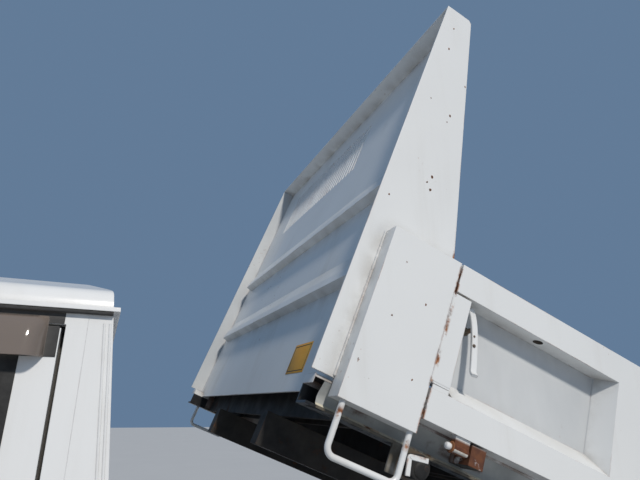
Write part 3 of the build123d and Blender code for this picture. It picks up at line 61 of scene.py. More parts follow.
# Axles
FRONT_AXLE = Vector(JOINTS["wheel_front_left_spin"]["pos_m"])
REAR_AXLE = Vector(JOINTS["wheels_rear_left_spin"]["pos_m"])

# Half widths over the bed's posts, over the headboard's side plates and over the gates' panels
BED_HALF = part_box("bed_posts")[1].y
PLATE_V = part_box("headboard")[1].y
GATE_PANEL_V = BED_HALF - 0.055

# Each gate hinge's block along the bed
HINGES = (-0.365, -1.500, -2.700)

UP = (0, 0, 1)
LEFT = (0, 1, 0)
SIDES = (("left", 1), ("right", -1))
MM = 0.001


# Materials


class Shade:
    """A node material, added to by short calls."""

    def __init__(self, material):
        self.material = material
        self.tree = material.node_tree
        self.shader = self.tree.nodes["Principled BSDF"]
        coordinates = self.add("ShaderNodeTexCoord")
        self.place = coordinates.outputs["Object"]
        self.normal = coordinates.outputs["Normal"]

    def add(self, kind, inputs=None, **settings):
        """A new node with its settings, and with its inputs linked or set."""
        node = self.tree.nodes.new(kind)
        for name, value in settings.items():
            setattr(node, name, value)
        for name, value in (inputs or {}).items():
            self.feed(node.inputs[name], value)
        return node

    def feed(self, socket, value):
        """Links a socket, or sets a value."""
        if isinstance(value, bpy.types.NodeSocket):
            self.tree.links.new(value, socket)
        elif value is not None:
            socket.default_value = value

    def math(self, operation, first, second=None):
        inputs = {0: first, 1: second}
        return self.add("ShaderNodeMath", inputs, operation=operation, use_clamp=True).outputs[0]

    def times(self, *values):
        product = values[0]
        for value in values[1:]:
            product = self.math("MULTIPLY", product, value)
        return product

    def most(self, *values):
        top = values[0]
        for value in values[1:]:
            top = self.math("MAXIMUM", top, value)
        return top

    def mix(self, first, second, factor):
        """The first colour at factor 0, the second at 1."""
        inputs = {"Factor": factor, 6: first, 7: second}
        return self.add("ShaderNodeMix", inputs, data_type="RGBA").outputs[2]

    def noise(self, scale, detail=4.0, roughness=0.55, stretch=(1, 1, 1)):
        mapping = self.add("ShaderNodeMapping", {"Vector": self.place, "Scale": stretch})
        inputs = {"Vector": mapping.outputs[0], "Scale": scale, "Detail": detail, "Roughness": roughness}
        return self.add("ShaderNodeTexNoise", inputs).outputs["Fac"]

    def waves(self, direction, scale):
        inputs = {"Vector": self.place, "Scale": scale}
        return self.add("ShaderNodeTexWave", inputs, bands_direction=direction).outputs["Fac"]

    def ramp(self, value, low, high, start=0.0, end=1.0):
        """From start where the value is low to end where it is high."""
        inputs = {"Value": value, "From Min": low, "From Max": high, "To Min": start, "To Max": end}
        return self.add("ShaderNodeMapRange", inputs, interpolation_type="SMOOTHSTEP").outputs["Result"]

    def patches(self, low, high, *settings):
        """1 where noise of these settings is above high, 0 where it is below low."""
        return self.ramp(self.noise(*settings), low, high)

    def dot(self, first, second):
        inputs = {0: first, 1: second}
        return self.add("ShaderNodeVectorMath", inputs, operation="DOT_PRODUCT").outputs["Value"]

    def along(self, direction, origin=(0, 0, 0)):
        """Distance along a direction from a point."""
        offset = self.add("ShaderNodeVectorMath", {0: self.place, 1: origin}, operation="SUBTRACT")
        return self.dot(offset.outputs[0], direction)

    def out(self):
        """Distance from the truck's middle plane."""
        return self.math("ABSOLUTE", self.along(LEFT))

    def near(self, distance, centre, full, faded):
        """1 within full of the centre, falling to 0 at faded."""
        gap = self.add("ShaderNodeMath", {0: distance, 1: centre}, operation="SUBTRACT")
        size = self.add("ShaderNodeMath", {0: gap.outputs[0]}, operation="ABSOLUTE")
        return self.ramp(size.outputs[0], full, faded, 1.0, 0.0)

    def facing(self, direction, low=0.3, high=0.9):
        """1 on faces that look in a direction."""
        return self.ramp(self.dot(self.normal, direction), low, high)

    def rounded(self, radius):
        """The normal, as if edges were rounded."""
        return self.add("ShaderNodeBevel", {"Radius": radius}, samples=4).outputs[0]

    def edges(self, radius=0.003, low=0.02, high=0.2):
        """1 on sharp edges, from how far a rounded normal leaves the true one."""
        true = self.add("ShaderNodeNewGeometry").outputs["Normal"]
        return self.ramp(self.dot(self.rounded(radius), true), 1 - low, 1 - high)

    def corners(self, distance=0.05, low=0.55, high=0.95):
        """1 in tight corners, 0 in the open."""
        node = self.add("ShaderNodeAmbientOcclusion", {"Distance": distance}, samples=4)
        return self.ramp(node.outputs["AO"], low, high, 1.0, 0.0)

    def finish(self, color, roughness=None, height=None, depth=0.001, round_edges=0.002):
        """Links colour, roughness and a bump of that depth over softened edges."""
        normal = self.rounded(round_edges) if round_edges else None
        if height is not None:
            inputs = {"Strength": 1.0, "Distance": depth, "Height": height, "Normal": normal}
            normal = self.add("ShaderNodeBump", inputs).outputs[0]
        for name, value in (("Base Color", color), ("Roughness", roughness), ("Normal", normal)):
            self.feed(self.shader.inputs[name], value)
        return self.material


def new_shade(name, roughness, metallic=0.0):
    """A new material of that name, ready to be added to."""
    material = bpy.data.materials.new(name)
    material.use_nodes = True
    shade = Shade(material)
    shade.shader.inputs["Roughness"].default_value = roughness
    shade.shader.inputs["Metallic"].default_value = metallic
    return shade


def dimmed(color, share):
    """A colour at a share of its brightness."""
    return tuple(share * channel for channel in color[:3]) + (1,)


DIRT = (0.19, 0.155, 0.115, 1)
DUST = (0.50, 0.46, 0.39, 1)
# Grey of the painted shade over the gates' recessed panels
RECESS_SHADE_GREY = (0.50, 0.52, 0.53, 1)
RUST_DARK = (0.085, 0.026, 0.010, 1)
RUST = (0.33, 0.115, 0.030, 1)
RUST_LIGHT = (0.52, 0.235, 0.075, 1)
BLACK = (0.005, 0.005, 0.0055, 1)
LIP_STAIN = (0.10, 0.085, 0.06, 1)
SKIN_GREY = (0.42, 0.43, 0.41, 1)
SKIN_GREY_DARK = (0.30, 0.31, 0.30, 1)
# Yellowed paint of the skins' lip, lightened as painted light
YELLOWED_AND_LIT = (0.60, 0.56, 0.44, 1)
SCOURED_DARK = (0.24, 0.235, 0.23, 1)
SCOURED = (0.42, 0.41, 0.40, 1)
TYRE_DARK = (0.016, 0.016, 0.016, 1)
TYRE_LIGHT = (0.036, 0.035, 0.034, 1)
TYRE_DUST = (0.16, 0.145, 0.12, 1)
GROOVE_DUST = (0.10, 0.09, 0.075, 1)
CLOTH_DARK = (0.035, 0.037, 0.042, 1)
CLOTH_LIGHT = (0.085, 0.088, 0.095, 1)
PALE = (0.52, 0.52, 0.515, 1)
PALER = (0.56, 0.56, 0.55, 1)

# Noise stretched: upwards for rain streaks, stains that run and clouds of dust, along for the rest
STREAKED = (1, 1, 0.09)
RUNNING = (1, 1, 0.3)
CLOUDED = (1, 1, 0.4)
DRAWN_OUT = (0.5, 1, 0.5)
SCRATCHED = (0.12, 1, 0.12)


def rust_color(shade):
    """Rust from dark brown to orange, in patches."""
    patches = shade.mix(RUST_DARK, RUST, shade.patches(0.35, 0.6, 45, 5))
    return shade.mix(patches, RUST_LIGHT, shade.patches(0.55, 0.8, 120, 4))


# Rust round the hinges: its level, its middle from the block, how far it reaches, and what it leaves
HINGE_RUST_W = 0.006
HINGE_RUST_U = 0.025
HINGE_RUST_REACH = (0.050, 0.062)
HINGE_RUST_V = (0.775, 0.79)


def hinge_rust(shade, full=0.020, faded=0.034):
    """1 round each gate hinge, within full of its level."""
    level = shade.near(shade.along(BED_UP, BED_FOOT), HINGE_RUST_W, full, faded)
    behind = shade.near(shade.along(LEFT), 0.0, *HINGE_RUST_V)
    proud = shade.math("SUBTRACT", 1.0, behind)
    ahead = shade.along(BED_DIR, BED_FOOT)
    spots = [shade.near(ahead, hinge + HINGE_RUST_U, *HINGE_RUST_REACH) for hinge in HINGES]
    return shade.times(shade.most(*spots), level, proud, shade.patches(0.3, 0.42, 30, 5))


# Splashed dirt, from none to full
SPLASHED_Z = (1.1, 0.35)


def weathered_and_shaded(shade, color, dirt):
    """Colour under rain streaks, settled dust, dirt low down, and dirt with painted shade in corners; and
    where the dullest soil is.
    """
    rain = shade.patches(0.5, 0.78, 9, 5, 0.6, STREAKED)
    color = shade.mix(color, DUST, shade.times(rain, 0.5 * dirt))
    settled = shade.times(shade.facing(UP), shade.patches(0.35, 0.75, 5, 5), 0.6 * dirt)
    color = shade.mix(color, DUST, settled)
    low = shade.times(shade.ramp(shade.along(UP), *SPLASHED_Z), shade.patches(0.3, 0.7, 4, 6), 0.7 * dirt)
    color = shade.mix(color, DIRT, low)
    # Dirt and painted shade: darker in corners, by an ambient occlusion mask
    corner_dirt_and_shade = shade.times(shade.corners(0.05), shade.patches(0.3, 0.65, 14, 5), 0.85 * dirt)
    return shade.mix(color, DIRT, corner_dirt_and_shade), shade.most(settled, corner_dirt_and_shade)


def rusted_through(shade, wear, bands):
    """1 on chips, on worn edges and in the bands."""
    chips = shade.times(shade.patches(0.69, 0.72, 85, 2), shade.patches(0.52, 0.66, 2.6, 3), wear)
    worn = shade.ramp(shade.noise(11, 5), 0.56 - 0.08 * wear, 0.66)
    rust = shade.most(chips, shade.times(shade.edges(0.0035), worn, wear))
    for direction, centre, full, faded in bands:
        band = shade.near(shade.along(direction, BED_FOOT), centre, full, faded)
        rust = shade.most(rust, shade.times(band, shade.patches(0.46, 0.6, 26, 5, 0.65)))
    return rust


def white_paint(name, base, roughness, wear, dirt, bands=(), recess_shade=0.0, hinges=False):
    """White enamel with dust, rain streaks, chips and rusty edges, dirt with painted shade in corners, and
    painted shade over the gates' recessed panels.

    Bands are (direction in the bed's axes, centre, full, faded) where the paint has rusted through.
    """
    shade = new_shade(name, roughness)
    shade.shader.inputs["Coat Weight"].default_value = 0.25
    shade.shader.inputs["Coat Roughness"].default_value = 0.12
    broad = shade.noise(1.3, 3)
    color = shade.mix(base, dimmed(base, 0.93), shade.ramp(broad, 0.35, 0.7))
    color, dirt_and_shade_mask = weathered_and_shaded(shade, color, dirt)
    if recess_shade:
        # Painted shade: the gates' recessed panels made greyer, in clouds
        recess = shade.near(shade.out(), GATE_PANEL_V, 0.0015, 0.0035)
        clouds = shade.ramp(shade.noise(3.5, 5, 0.6, CLOUDED), 0.2, 0.7, 0.55, 1.0)
        color = shade.mix(color, RECESS_SHADE_GREY, shade.times(recess, clouds, recess_shade))
    rust = rusted_through(shade, wear, bands)
    halo = shade.times(shade.edges(0.012, 0.01, 0.3), shade.patches(0.5, 0.75, 7, 4), 0.5 * wear)
    color = shade.mix(color, RUST_LIGHT, shade.times(halo, 0.5))
    color = shade.mix(color, rust_color(shade), rust)
    if hinges:
        dark_rust = shade.mix(rust_color(shade), RUST_DARK, 0.7)
        color = shade.mix(color, dark_rust, hinge_rust(shade, 0.018, 0.026))
    dull = shade.ramp(broad, 0.3, 0.8, roughness, roughness + 0.12)
    dull = shade.math("ADD", dull, shade.times(rust, 0.5))
    dull = shade.math("ADD", dull, shade.times(dirt_and_shade_mask, 0.4))
    waves = shade.math("ADD", shade.times(shade.noise(2.2, 2), 0.9), shade.times(shade.noise(240, 2), 0.02))
    height = shade.math("SUBTRACT", waves, shade.times(rust, 0.06))
    return shade.finish(color, dull, height, 0.004)


def metal(name, dark, light, roughness, metallic, rust, dirt, grain):
    """Bare or painted steel with grease, dirt and rust patches, and dirt with painted shade in corners."""
    shade = new_shade(name, roughness, metallic)
    color = shade.mix(dark, light, shade.patches(0.35, 0.7, grain, 5))
    dirt_and_shade_mask = shade.times(shade.patches(0.4, 0.7, 6, 6), dirt)
    color = shade.mix(color, DIRT, dirt_and_shade_mask)
    # Dirt and painted shade in corners, by an ambient occlusion mask
    dirt_and_shade_mask = shade.times(shade.corners(0.06), dirt)
    color = shade.mix(color, DIRT, dirt_and_shade_mask)
    patches = shade.ramp(shade.noise(9, 6, 0.65), 0.62 - 0.2 * rust, 0.72 - 0.1 * rust)
    scale = shade.times(shade.most(patches, shade.times(shade.edges(0.003), 0.7)), min(1.0, rust * 1.6))
    color = shade.mix(color, rust_color(shade), scale)
    dull = shade.math("ADD", shade.ramp(shade.noise(18, 4), 0.3, 0.7, roughness, roughness + 0.18), scale)
    height = shade.math("ADD", shade.times(shade.noise(grain * 3, 4), 0.5), scale)
    made = shade.finish(color, dull, height, 0.0006)
    if metallic:
        shade.feed(shade.shader.inputs["Metallic"], shade.math("SUBTRACT", metallic, scale))
    return made


def plain(name, dark, light, roughness, scale, depth, dirt):
    """Plastic, rubber or cloth with small grain and a little dust."""
    shade = new_shade(name, roughness)
    grain = shade.noise(scale, 5)
    color = shade.mix(dark, light, shade.ramp(grain, 0.35, 0.7))
    dust = shade.times(shade.facing(UP, 0.1, 0.9), shade.patches(0.35, 0.7, 9, 5), dirt)
    color = shade.mix(color, DUST, shade.most(dust, shade.times(shade.corners(0.03), dirt)))
    dull = shade.ramp(shade.noise(7, 4), 0.3, 0.7, roughness, roughness + 0.12)
    return shade.finish(color, dull, shade.noise(scale * 8, 3), depth * MM, round_edges=0.0015)


def clear(name, tint, roughness, transmission):
    """Glass or a clear lens, with faint wiper haze."""
    shade = new_shade(name, roughness)
    shade.shader.inputs["Transmission Weight"].default_value = transmission
    shade.shader.inputs["IOR"].default_value = 1.48
    haze = shade.ramp(shade.noise(6, 5, 0.6, RUNNING), 0.4, 0.8, roughness, roughness + 0.08)
    color = shade.mix(tint, dimmed(tint, 0.9), shade.noise(3))
    return shade.finish(color, haze, round_edges=0.0)


# Rusty bands on the bed: the gap between post and gate, and the foot of the side rails
GATE_GAP_U = -0.202
RAIL_FOOT_W = -0.027
BED_BANDS = ((BED_DIR, GATE_GAP_U, 0.002, 0.008), (BED_UP, RAIL_FOOT_W, 0.004, 0.02))
WHITE = (0.80, 0.81, 0.80, 1)
CAB_WHITE = (0.83, 0.835, 0.825, 1)


# Where the side rails' looks begin and where they are full, in the bed's axes: painted shade in running
# stains on the web behind the board and below it, the black inside past the board and at the tip, and the
# lip's stain
CHANNEL_SHADE_V = (0.770, 0.745)
CHANNEL_SHADE_U = (-0.032, -0.036)
CHANNEL_SHADE_W = (0.015, 0.012)
BLACK_V = (0.782, 0.776)
BLACK_U = (-0.036, -0.032)
BLACK_TIP_U = (0.013, 0.016)
BLACK_W = (0.016, 0.013)
LIP_STAIN_W = (-0.018, -0.024)
# Where the skin's lip turns lighter: painted light on yellowed paint
PALE_LIP_W = (-0.016, -0.020)


def channel_shade(shade):
    """1 on the rail's web, deep in its channel, in running stains: painted shade, partly stains."""
    deep = shade.ramp(shade.out(), *CHANNEL_SHADE_V)
    stains_and_shade = shade.ramp(shade.noise(8, 5, 0.6, RUNNING), 0.3, 0.6, 0.45, 1.0)
    back = shade.ramp(shade.along(BED_DIR, BED_FOOT), *CHANNEL_SHADE_U)
    low = shade.ramp(shade.along(BED_UP, BED_FOOT), *CHANNEL_SHADE_W)
    return shade.times(deep, stains_and_shade, shade.most(back, low))


def black_end(shade):
    """1 where the black of the bed's underside covers the rails: low faces, and inside past the board."""
    ahead = shade.along(BED_DIR, BED_FOOT)
    inside = shade.times(shade.ramp(ahead, *BLACK_U), shade.ramp(shade.out(), *BLACK_V))
    past = shade.most(inside, shade.ramp(ahead, *BLACK_TIP_U))
    low = shade.ramp(shade.along(BED_UP, BED_FOOT), *BLACK_W)
    return shade.most(shade.times(past, low), shade.facing(-BED_UP, 0.6, 0.9))


def shaded_skin_paint():
    """Grey paint over the open sides of the rails: painted shade with rust runs along the hollow's upper
    middle, and painted light on the yellowed lip.
    """
    shade = new_shade("rail_skin_shaded_paint", 0.62)
    level = shade.along(BED_UP, BED_FOOT)
    clouds = shade.patches(0.35, 0.65, 9, 5)
    color = shade.mix(SKIN_GREY, SKIN_GREY_DARK, clouds)
    patches = shade.patches(0.47, 0.6, 15, 6, 0.65, DRAWN_OUT)
    # Painted shade, with rust runs, along the hollow's upper middle
    shade_and_runs = shade.times(shade.near(level, 0.004, 0.006, 0.018), patches)
    color = shade.mix(color, RUST_DARK, shade.times(shade_and_runs, 0.8))
    # Painted light: the yellowed lip made lighter
    lip = shade.ramp(level, *PALE_LIP_W)
    color = shade.mix(color, YELLOWED_AND_LIT, lip)
    specks = shade.times(lip, shade.patches(0.5, 0.62, 24, 5))
    color = shade.mix(color, rust_color(shade), specks)
    return shade.finish(color, None, shade.noise(70, 4), 0.0008)


def rail_paint():
    """The side rails: the bed's white, rusted along the foot, inside the channel and at the hinges, with
    painted shade in running stains deep in the channel.
    """
    shade = Shade(white_paint("bed_rail_white", WHITE, 0.34, 0.9, 0.9, BED_BANDS))
    inside = shade.times(shade.corners(0.04, 0.35, 0.8), shade.patches(0.36, 0.56, 12, 5))
    mask = shade.most(inside, hinge_rust(shade))
    color, dull = shade.shader.inputs["Base Color"], shade.shader.inputs["Roughness"]
    paint, paint_dull = color.links[0].from_socket, dull.links[0].from_socket
    # Painted shade deep in the channel, in running stains of dark rust
    stained = shade.mix(paint, RUST_DARK, shade.times(channel_shade(shade), 0.85))
    lip = shade.ramp(shade.along(BED_UP, BED_FOOT), *LIP_STAIN_W)
    lip = shade.times(lip, shade.ramp(shade.noise(14, 5), 0.2, 0.5, 0.6, 1.0))
    stained = shade.mix(stained, LIP_STAIN, lip)
    rusted = shade.mix(stained, shade.mix(rust_color(shade), RUST_DARK, 0.78), mask)
    shade.feed(color, shade.mix(rusted, BLACK, black_end(shade)))
    shade.feed(dull, shade.math("ADD", paint_dull, shade.times(mask, 0.45)))
    return shade.material


def floor_paint():
    """The load floor: paint scoured to steel and rust on top, black below."""
    shade = new_shade("load_floor_paint", 0.5)
    scour = shade.noise(16, 6, 0.6, SCRATCHED)
    steel = shade.mix(SCOURED_DARK, SCOURED, scour)
    color = shade.mix(WHITE, steel, shade.ramp(scour, 0.42, 0.56))
    rusted = shade.patches(0.47, 0.6, 3.4, 7, 0.62)
    color = shade.mix(color, rust_color(shade), rusted)
    color = shade.mix(color, DUST, shade.times(shade.patches(0.45, 0.7, 1.8, 6), 0.6))
    under = shade.facing(-BED_UP, 0.2, 0.6)
    black = shade.mix(BLACK, DIRT, shade.times(shade.patches(0.45, 0.8, 5, 6), 0.08))
    color = shade.mix(color, black, under)
    return shade.finish(color, shade.ramp(scour, 0.3, 0.7, 0.42, 0.7), shade.noise(70, 4), 0.0012)


def tyre_rubber():
    """Tyre rubber: dusty sidewalls, a worn grey tread."""
    shade = new_shade("tyre_rubber", 0.78)
    color = shade.mix(TYRE_DARK, TYRE_LIGHT, shade.noise(24, 5))
    dust = shade.times(shade.patches(0.35, 0.7, 5, 6), 0.5)
    color = shade.mix(color, TYRE_DUST, dust)
    grooves = shade.corners(0.012, 0.5, 0.9)
    color = shade.mix(color, GROOVE_DUST, shade.times(grooves, 0.6))
    return shade.finish(color, None, shade.noise(260, 4), 0.0006, round_edges=0.0015)


def cloth():
    """Woven seat cloth, from two crossed waves."""
    shade = new_shade("seat_weave", 0.92)
    shade.shader.inputs["Sheen Weight"].default_value = 0.35
    weave = shade.times(shade.waves("X", 140), shade.waves("Y", 140))
    color = shade.mix(CLOTH_DARK, CLOTH_LIGHT, weave)
    color = shade.mix(color, DUST, shade.times(shade.patches(0.4, 0.75, 7, 5), 0.18))
    return shade.finish(color, None, weave, 0.0008, round_edges=0.004)


def light_lens(name, color):
    """Coloured lamp lens with moulded ribs."""
    shade = new_shade(name, 0.16)
    shade.shader.inputs["Transmission Weight"].default_value = 0.35
    shade.shader.inputs["Coat Weight"].default_value = 0.6
    ribs = shade.waves("Y", 55)
    mixed = shade.mix(dimmed(color, 0.55), color, ribs)
    mixed = shade.mix(mixed, DUST, shade.times(shade.patches(0.45, 0.75, 9, 5), 0.25))
    return shade.finish(mixed, None, ribs, 0.0008, round_edges=0.001)


# Steel. Columns: key, name, dark, light, roughness, metallic, rust, dirt with painted shade in corners,
# grain
METALS = (
    ("black", "chassis_black", (0.004, 0.004, 0.0045, 1), (0.01, 0.01, 0.01, 1), 0.55, 0.0, 0.16, 0.12, 60),
    ("steel", "dull_steel", (0.10, 0.095, 0.09, 1), (0.22, 0.21, 0.20, 1), 0.5, 0.8, 0.5, 0.55, 60),
    ("zinc", "bolt_zinc", (0.36, 0.35, 0.33, 1), (0.55, 0.54, 0.51, 1), 0.38, 0.9, 0.35, 0.3, 140),
    ("chrome", "hard_chrome", (0.62, 0.62, 0.63, 1), (0.72, 0.72, 0.73, 1), 0.09, 1.0, 0.0, 0.12, 200),
    ("rim", "rim_grey", (0.40, 0.41, 0.41, 1), (0.52, 0.53, 0.53, 1), 0.42, 0.15, 0.3, 0.45, 60),
    ("rust", "heavy_rust", (0.16, 0.055, 0.02, 1), (0.36, 0.13, 0.04, 1), 0.85, 0.0, 0.9, 0.25, 90),
    ("cast", "cast_iron", (0.06, 0.055, 0.05, 1), (0.13, 0.12, 0.11, 1), 0.7, 0.4, 0.35, 0.7, 60),
    # A light steel for the painted highlight on the hinges
    ("worn", "worn_white", (0.50, 0.47, 0.42, 1), (0.66, 0.64, 0.60, 1), 0.5, 0.0, 0.3, 0.3, 90),
    ("silver", "reflector_silver", (0.75, 0.75, 0.76, 1), (0.85, 0.85, 0.86, 1), 0.08, 1.0, 0.0, 0.05, 30),
)

# Rubber and plastic. Columns: key, name, dark, light, roughness, scale and depth in mm of its grain, dirt
PLAINS = (
    ("rubber", "black_rubber", (0.012, 0.012, 0.012, 1), (0.03, 0.03, 0.029, 1), 0.62, 40, 0.3, 0.3),
    ("buffer", "buffer_rubber", (0.005, 0.005, 0.005, 1), (0.012, 0.012, 0.012, 1), 0.7, 40, 0.3, 0.08),
    ("plastic", "black_plastic", (0.011, 0.011, 0.012, 1), (0.022, 0.022, 0.023, 1), 0.48, 90, 0.3, 0.15),
    ("trim", "grey_trim", (0.12, 0.12, 0.125, 1), (0.17, 0.17, 0.175, 1), 0.6, 90, 0.3, 0.15),
    ("label", "label_amber", (0.85, 0.40, 0.035, 1), (0.95, 0.50, 0.06, 1), 0.5, 12, 0.1, 0.2),
    ("dark", "dark_hole", (0.01, 0.008, 0.006, 1), (0.035, 0.02, 0.012, 1), 0.9, 60, 0.3, 0.15),
)

# Glass and clear lenses. Columns: key, name, tint, roughness, transmission
CLEARS = (
    ("glass", "window_glass", (0.80, 0.88, 0.85, 1), 0.015, 1.0),
    ("smoke", "smoked_visor", (0.30, 0.25, 0.215, 1), 0.07, 0.35),
    ("lens", "clear_lens", (0.93, 0.94, 0.94, 1), 0.04, 0.9),
)

MATERIALS = {
    "cab": white_paint("cab_white", CAB_WHITE, 0.20, 0.18, 0.35),
    "bed": white_paint("bed_white", WHITE, 0.32, 0.75, 0.55, BED_BANDS, recess_shade=0.9, hinges=True),
    "rail": rail_paint(),
    "stained": shaded_skin_paint(),
    "floor": floor_paint(),
    "tyre": tyre_rubber(),
    "cloth": cloth(),
    "red": light_lens("red_lens", (0.55, 0.012, 0.010, 1)),
    "amber": light_lens("amber_lens", (0.80, 0.24, 0.012, 1)),
}
for make, rows in ((metal, METALS), (plain, PLAINS), (clear, CLEARS)):
    for key, *looks in rows:
        MATERIALS[key] = make(*looks)

NODE_MATERIALS = {
    "cab": ("cab_front_panel", "cab_sides", "cab_back_panel", "cab_roof", "door_left", "door_right",
            "front_bumper"),
    "bed": ("bed_posts", "headboard", "side_gate_left", "side_gate_right", "tailgate", "stirrup_steps"),
    "rail": ("side_rails",),
    "floor": ("bed_floor",),
    "black": ("chassis_rails", "chassis_cross_members", "sub_frame", "fuel_tank", "battery_box", "rear_bar",
              "bed_sills", "bed_cross_members"),
    "steel": ("propeller_shaft", "front_axle", "knuckle_left", "knuckle_right", "track_rod", "rear_axle",
              "leaf_springs", "exhaust", "hoist_barrel"),
    "chrome": ("hoist_rod",),
    "rim": ("front_rim_left", "front_rim_right", "rear_rims_left", "rear_rims_right"),
    "cast": ("engine",),
    "tyre": ("front_tyre_left", "front_tyre_right", "rear_tyres_left", "rear_tyres_right"),
    "rubber": ("rear_mudguards",),
    "buffer": ("rubber_buffers",),
    "plastic": ("dashboard", "steering_wheel", "mirrors", "tail_lamps"),
    "trim": ("cab_floor",),
    "cloth": ("seats",),
    "glass": ("cab_glass", "door_glass_left", "door_glass_right"),
    "lens": ("headlamps",),
}
for material, names in NODE_MATERIALS.items():
    for node in names:
        slots = NODES[node].data.materials
        slots.clear()
        slots.append(MATERIALS[material])


# Mesh helpers


def add_object(name, data):
    """A new object in the scene."""
    obj = bpy.data.objects.new(name, data)
    bpy.context.scene.collection.objects.link(obj)
    return obj


def piece(name, draw, body, material, slot, *args, matrix=None, crease=35):
    """Makes an object of what draw(bm, ...) draws, in a material, and lets it ride on a body."""
    bm = bmesh.new()
    draw(bm, *args)
    bmesh.ops.recalc_face_normals(bm, faces=bm.faces[:])
    mesh = bpy.data.meshes.new(name)
    bm.to_mesh(mesh)
    bm.free()
    mesh.shade_smooth()
    mesh.set_sharp_from_angle(angle=radians(crease))
    mesh.materials.append(MATERIALS[material])
    if matrix is not None:
        mesh.transform(matrix)
    obj = add_object(name, mesh)
    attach(obj, body)
    return obj


SHARP_ANGLE = 0.5
BEVEL_PROFILE = 0.6


def soften(bm, vertices, width):
    """Bevels the sharp edges at these vertices."""
    edges = {edge for vertex in vertices for edge in vertex.link_edges}
    sharp = [edge for edge in edges if edge.calc_face_angle() > SHARP_ANGLE]
    bmesh.ops.bevel(bm, geom=sharp, offset=width, segments=2, profile=BEVEL_PROFILE, affect="EDGES")


def block(bm, low, high, bevel=0.0):
    """A box between two corners, with softened edges."""
    low, high = Vector(low), Vector(high)
    corners = bmesh.ops.create_cube(bm, size=1.0)["verts"]
    for vertex in corners:
        for axis in range(3):
            share = vertex.co[axis] + 0.5
            vertex.co[axis] = low[axis] + share * (high[axis] - low[axis])
    if bevel:
        soften(bm, corners, bevel)


def prism(bm, outline, low, high, bevel=0.0, axes=(0, 2, 1)):
    """An outline in two axes, drawn out along the third from low to high."""
    rings = []
    for level in (low, high):
        ring = []
        for first, second in outline:
            point = Vector()
            point[axes[0]], point[axes[1]], point[axes[2]] = first, second, level
            ring.append(bm.verts.new(point))
        rings.append(ring)
    join_rings(bm, rings)
    if bevel:
        soften(bm, rings[0] + rings[1], bevel)


def both(draw):
    """Makes what draws on one side draw on both."""

    def draw_both(bm, *args):
        for _, side in SIDES:
            draw(bm, side, *args)

    return draw_both


def join_rings(bm, rings, closed=False):
    """Faces from ring to ring; the end rings are capped, or else joined to each other."""
    for near, far in zip(rings, rings[1:] + rings[:1] if closed else rings[1:]):
        for k, vertex in enumerate(near):
            m = (k + 1) % len(near)
            bm.faces.new((vertex, near[m], far[m], far[k]))
    if not closed:
        bm.faces.new(rings[0][::-1])
        bm.faces.new(rings[-1])


def sweep(bm, path, profile, up=UP):
    """Draws a closed profile of (side, up) points along a path."""
    points = [Vector(point) for point in path]
    rings = []
    for before, point, after in zip(points[:1] + points, points, points[1:] + points[-1:]):
        ahead = (after - before).normalized()
        side = ahead.cross(Vector(up)).normalized()
        over = side.cross(ahead)
        rings.append([bm.verts.new(point + side * a + over * b) for a, b in profile])
    join_rings(bm, rings)


def circle(radius, sides=12):
    """Points of a circle about the origin."""
    return [(radius * cos(2 * pi * i / sides), radius * sin(2 * pi * i / sides)) for i in range(sides)]


def flat_bar(width, thickness):
    """A flat bar's profile, with its corners cut."""
    a, b, c = width / 2, thickness / 2, min(width, thickness) / 5
    half = [(a, c - b), (a, b - c), (a - c, b), (c - a, b)]
    return half + [(-x, -y) for x, y in half]


def bend(start, corner, end, steps):
    """Points of the arc from start to end that a corner between them is rounded to."""
    shares = [k / steps for k in range(steps + 1)]
    return [start * (1 - t) ** 2 + corner * 2 * t * (1 - t) + end * t ** 2 for t in shares]


def rounded_path(points, radius, steps=5):
    """The points with each inner corner replaced by an arc."""
    points = [Vector(point) for point in points]
    path = [points[0]]
    for before, corner, after in zip(points, points[1:], points[2:]):
        back, on = (before - corner), (after - corner)
        cut = min(radius, 0.45 * back.length, 0.45 * on.length)
        path += bend(corner + back.normalized() * cut, corner, corner + on.normalized() * cut, steps)
    path.append(points[-1])
    return path


def lathe(bm, profile, at, axis, sides=24):
    """Turns (distance along the axis, radius) points about an axis through a point."""
    turn = Vector(UP).rotation_difference(Vector(axis)).to_matrix()
    rings = []
    for along, radius in profile:
        ring = [turn @ Vector((x, y, along)) + Vector(at) for x, y in circle(radius, sides)]
        rings.append([bm.verts.new(point) for point in ring])
    join_rings(bm, rings)


# A bolt's washer and head: (distance along the axis, radius), as shares of the head's radius
WASHER = ((0.18, 1.35), (0.22, 1.25))
HEAD = ((0.0, 1.0), (0.62, 1.0), (0.78, 0.86))
HEAD_RISE = 0.2
SUNK = -0.002


def bolt(bm, at, axis, size):
    """A hexagon head on a washer; size is the head's radius."""
    washer = [(along * size, radius * size) for along, radius in WASHER]
    lathe(bm, [(SUNK, washer[0][1])] + washer, at, axis, 16)
    head = Vector(at) + Vector(axis).normalized() * size * HEAD_RISE
    lathe(bm, [(along * size, radius * size) for along, radius in HEAD], head, axis, 6)


# Search trees of the nodes that rays were sent at
TREES = {}


def surface(node, start, direction):
    """Where a ray first meets a CAD node, with the normal there."""
    if node not in TREES:
        mesh = NODES[node].data
        corners = [vertex.co for vertex in mesh.vertices]
        TREES[node] = BVHTree.FromPolygons(corners, [polygon.vertices for polygon in mesh.polygons])
    hit, normal, _, _ = TREES[node].ray_cast(Vector(start), Vector(direction).normalized())
    return hit, normal


# Camera, light and floor

PHOTO_WIDTH = 640
PHOTO_HEIGHT = 480
PHOTO_FOCUS = 504.16
CAM_AT = Vector((1.0562, 1.8252, 1.7383))
CAM_YAW = radians(22.53)
CAM_PITCH = radians(18.09)
CAM_ROLL = -0.0101


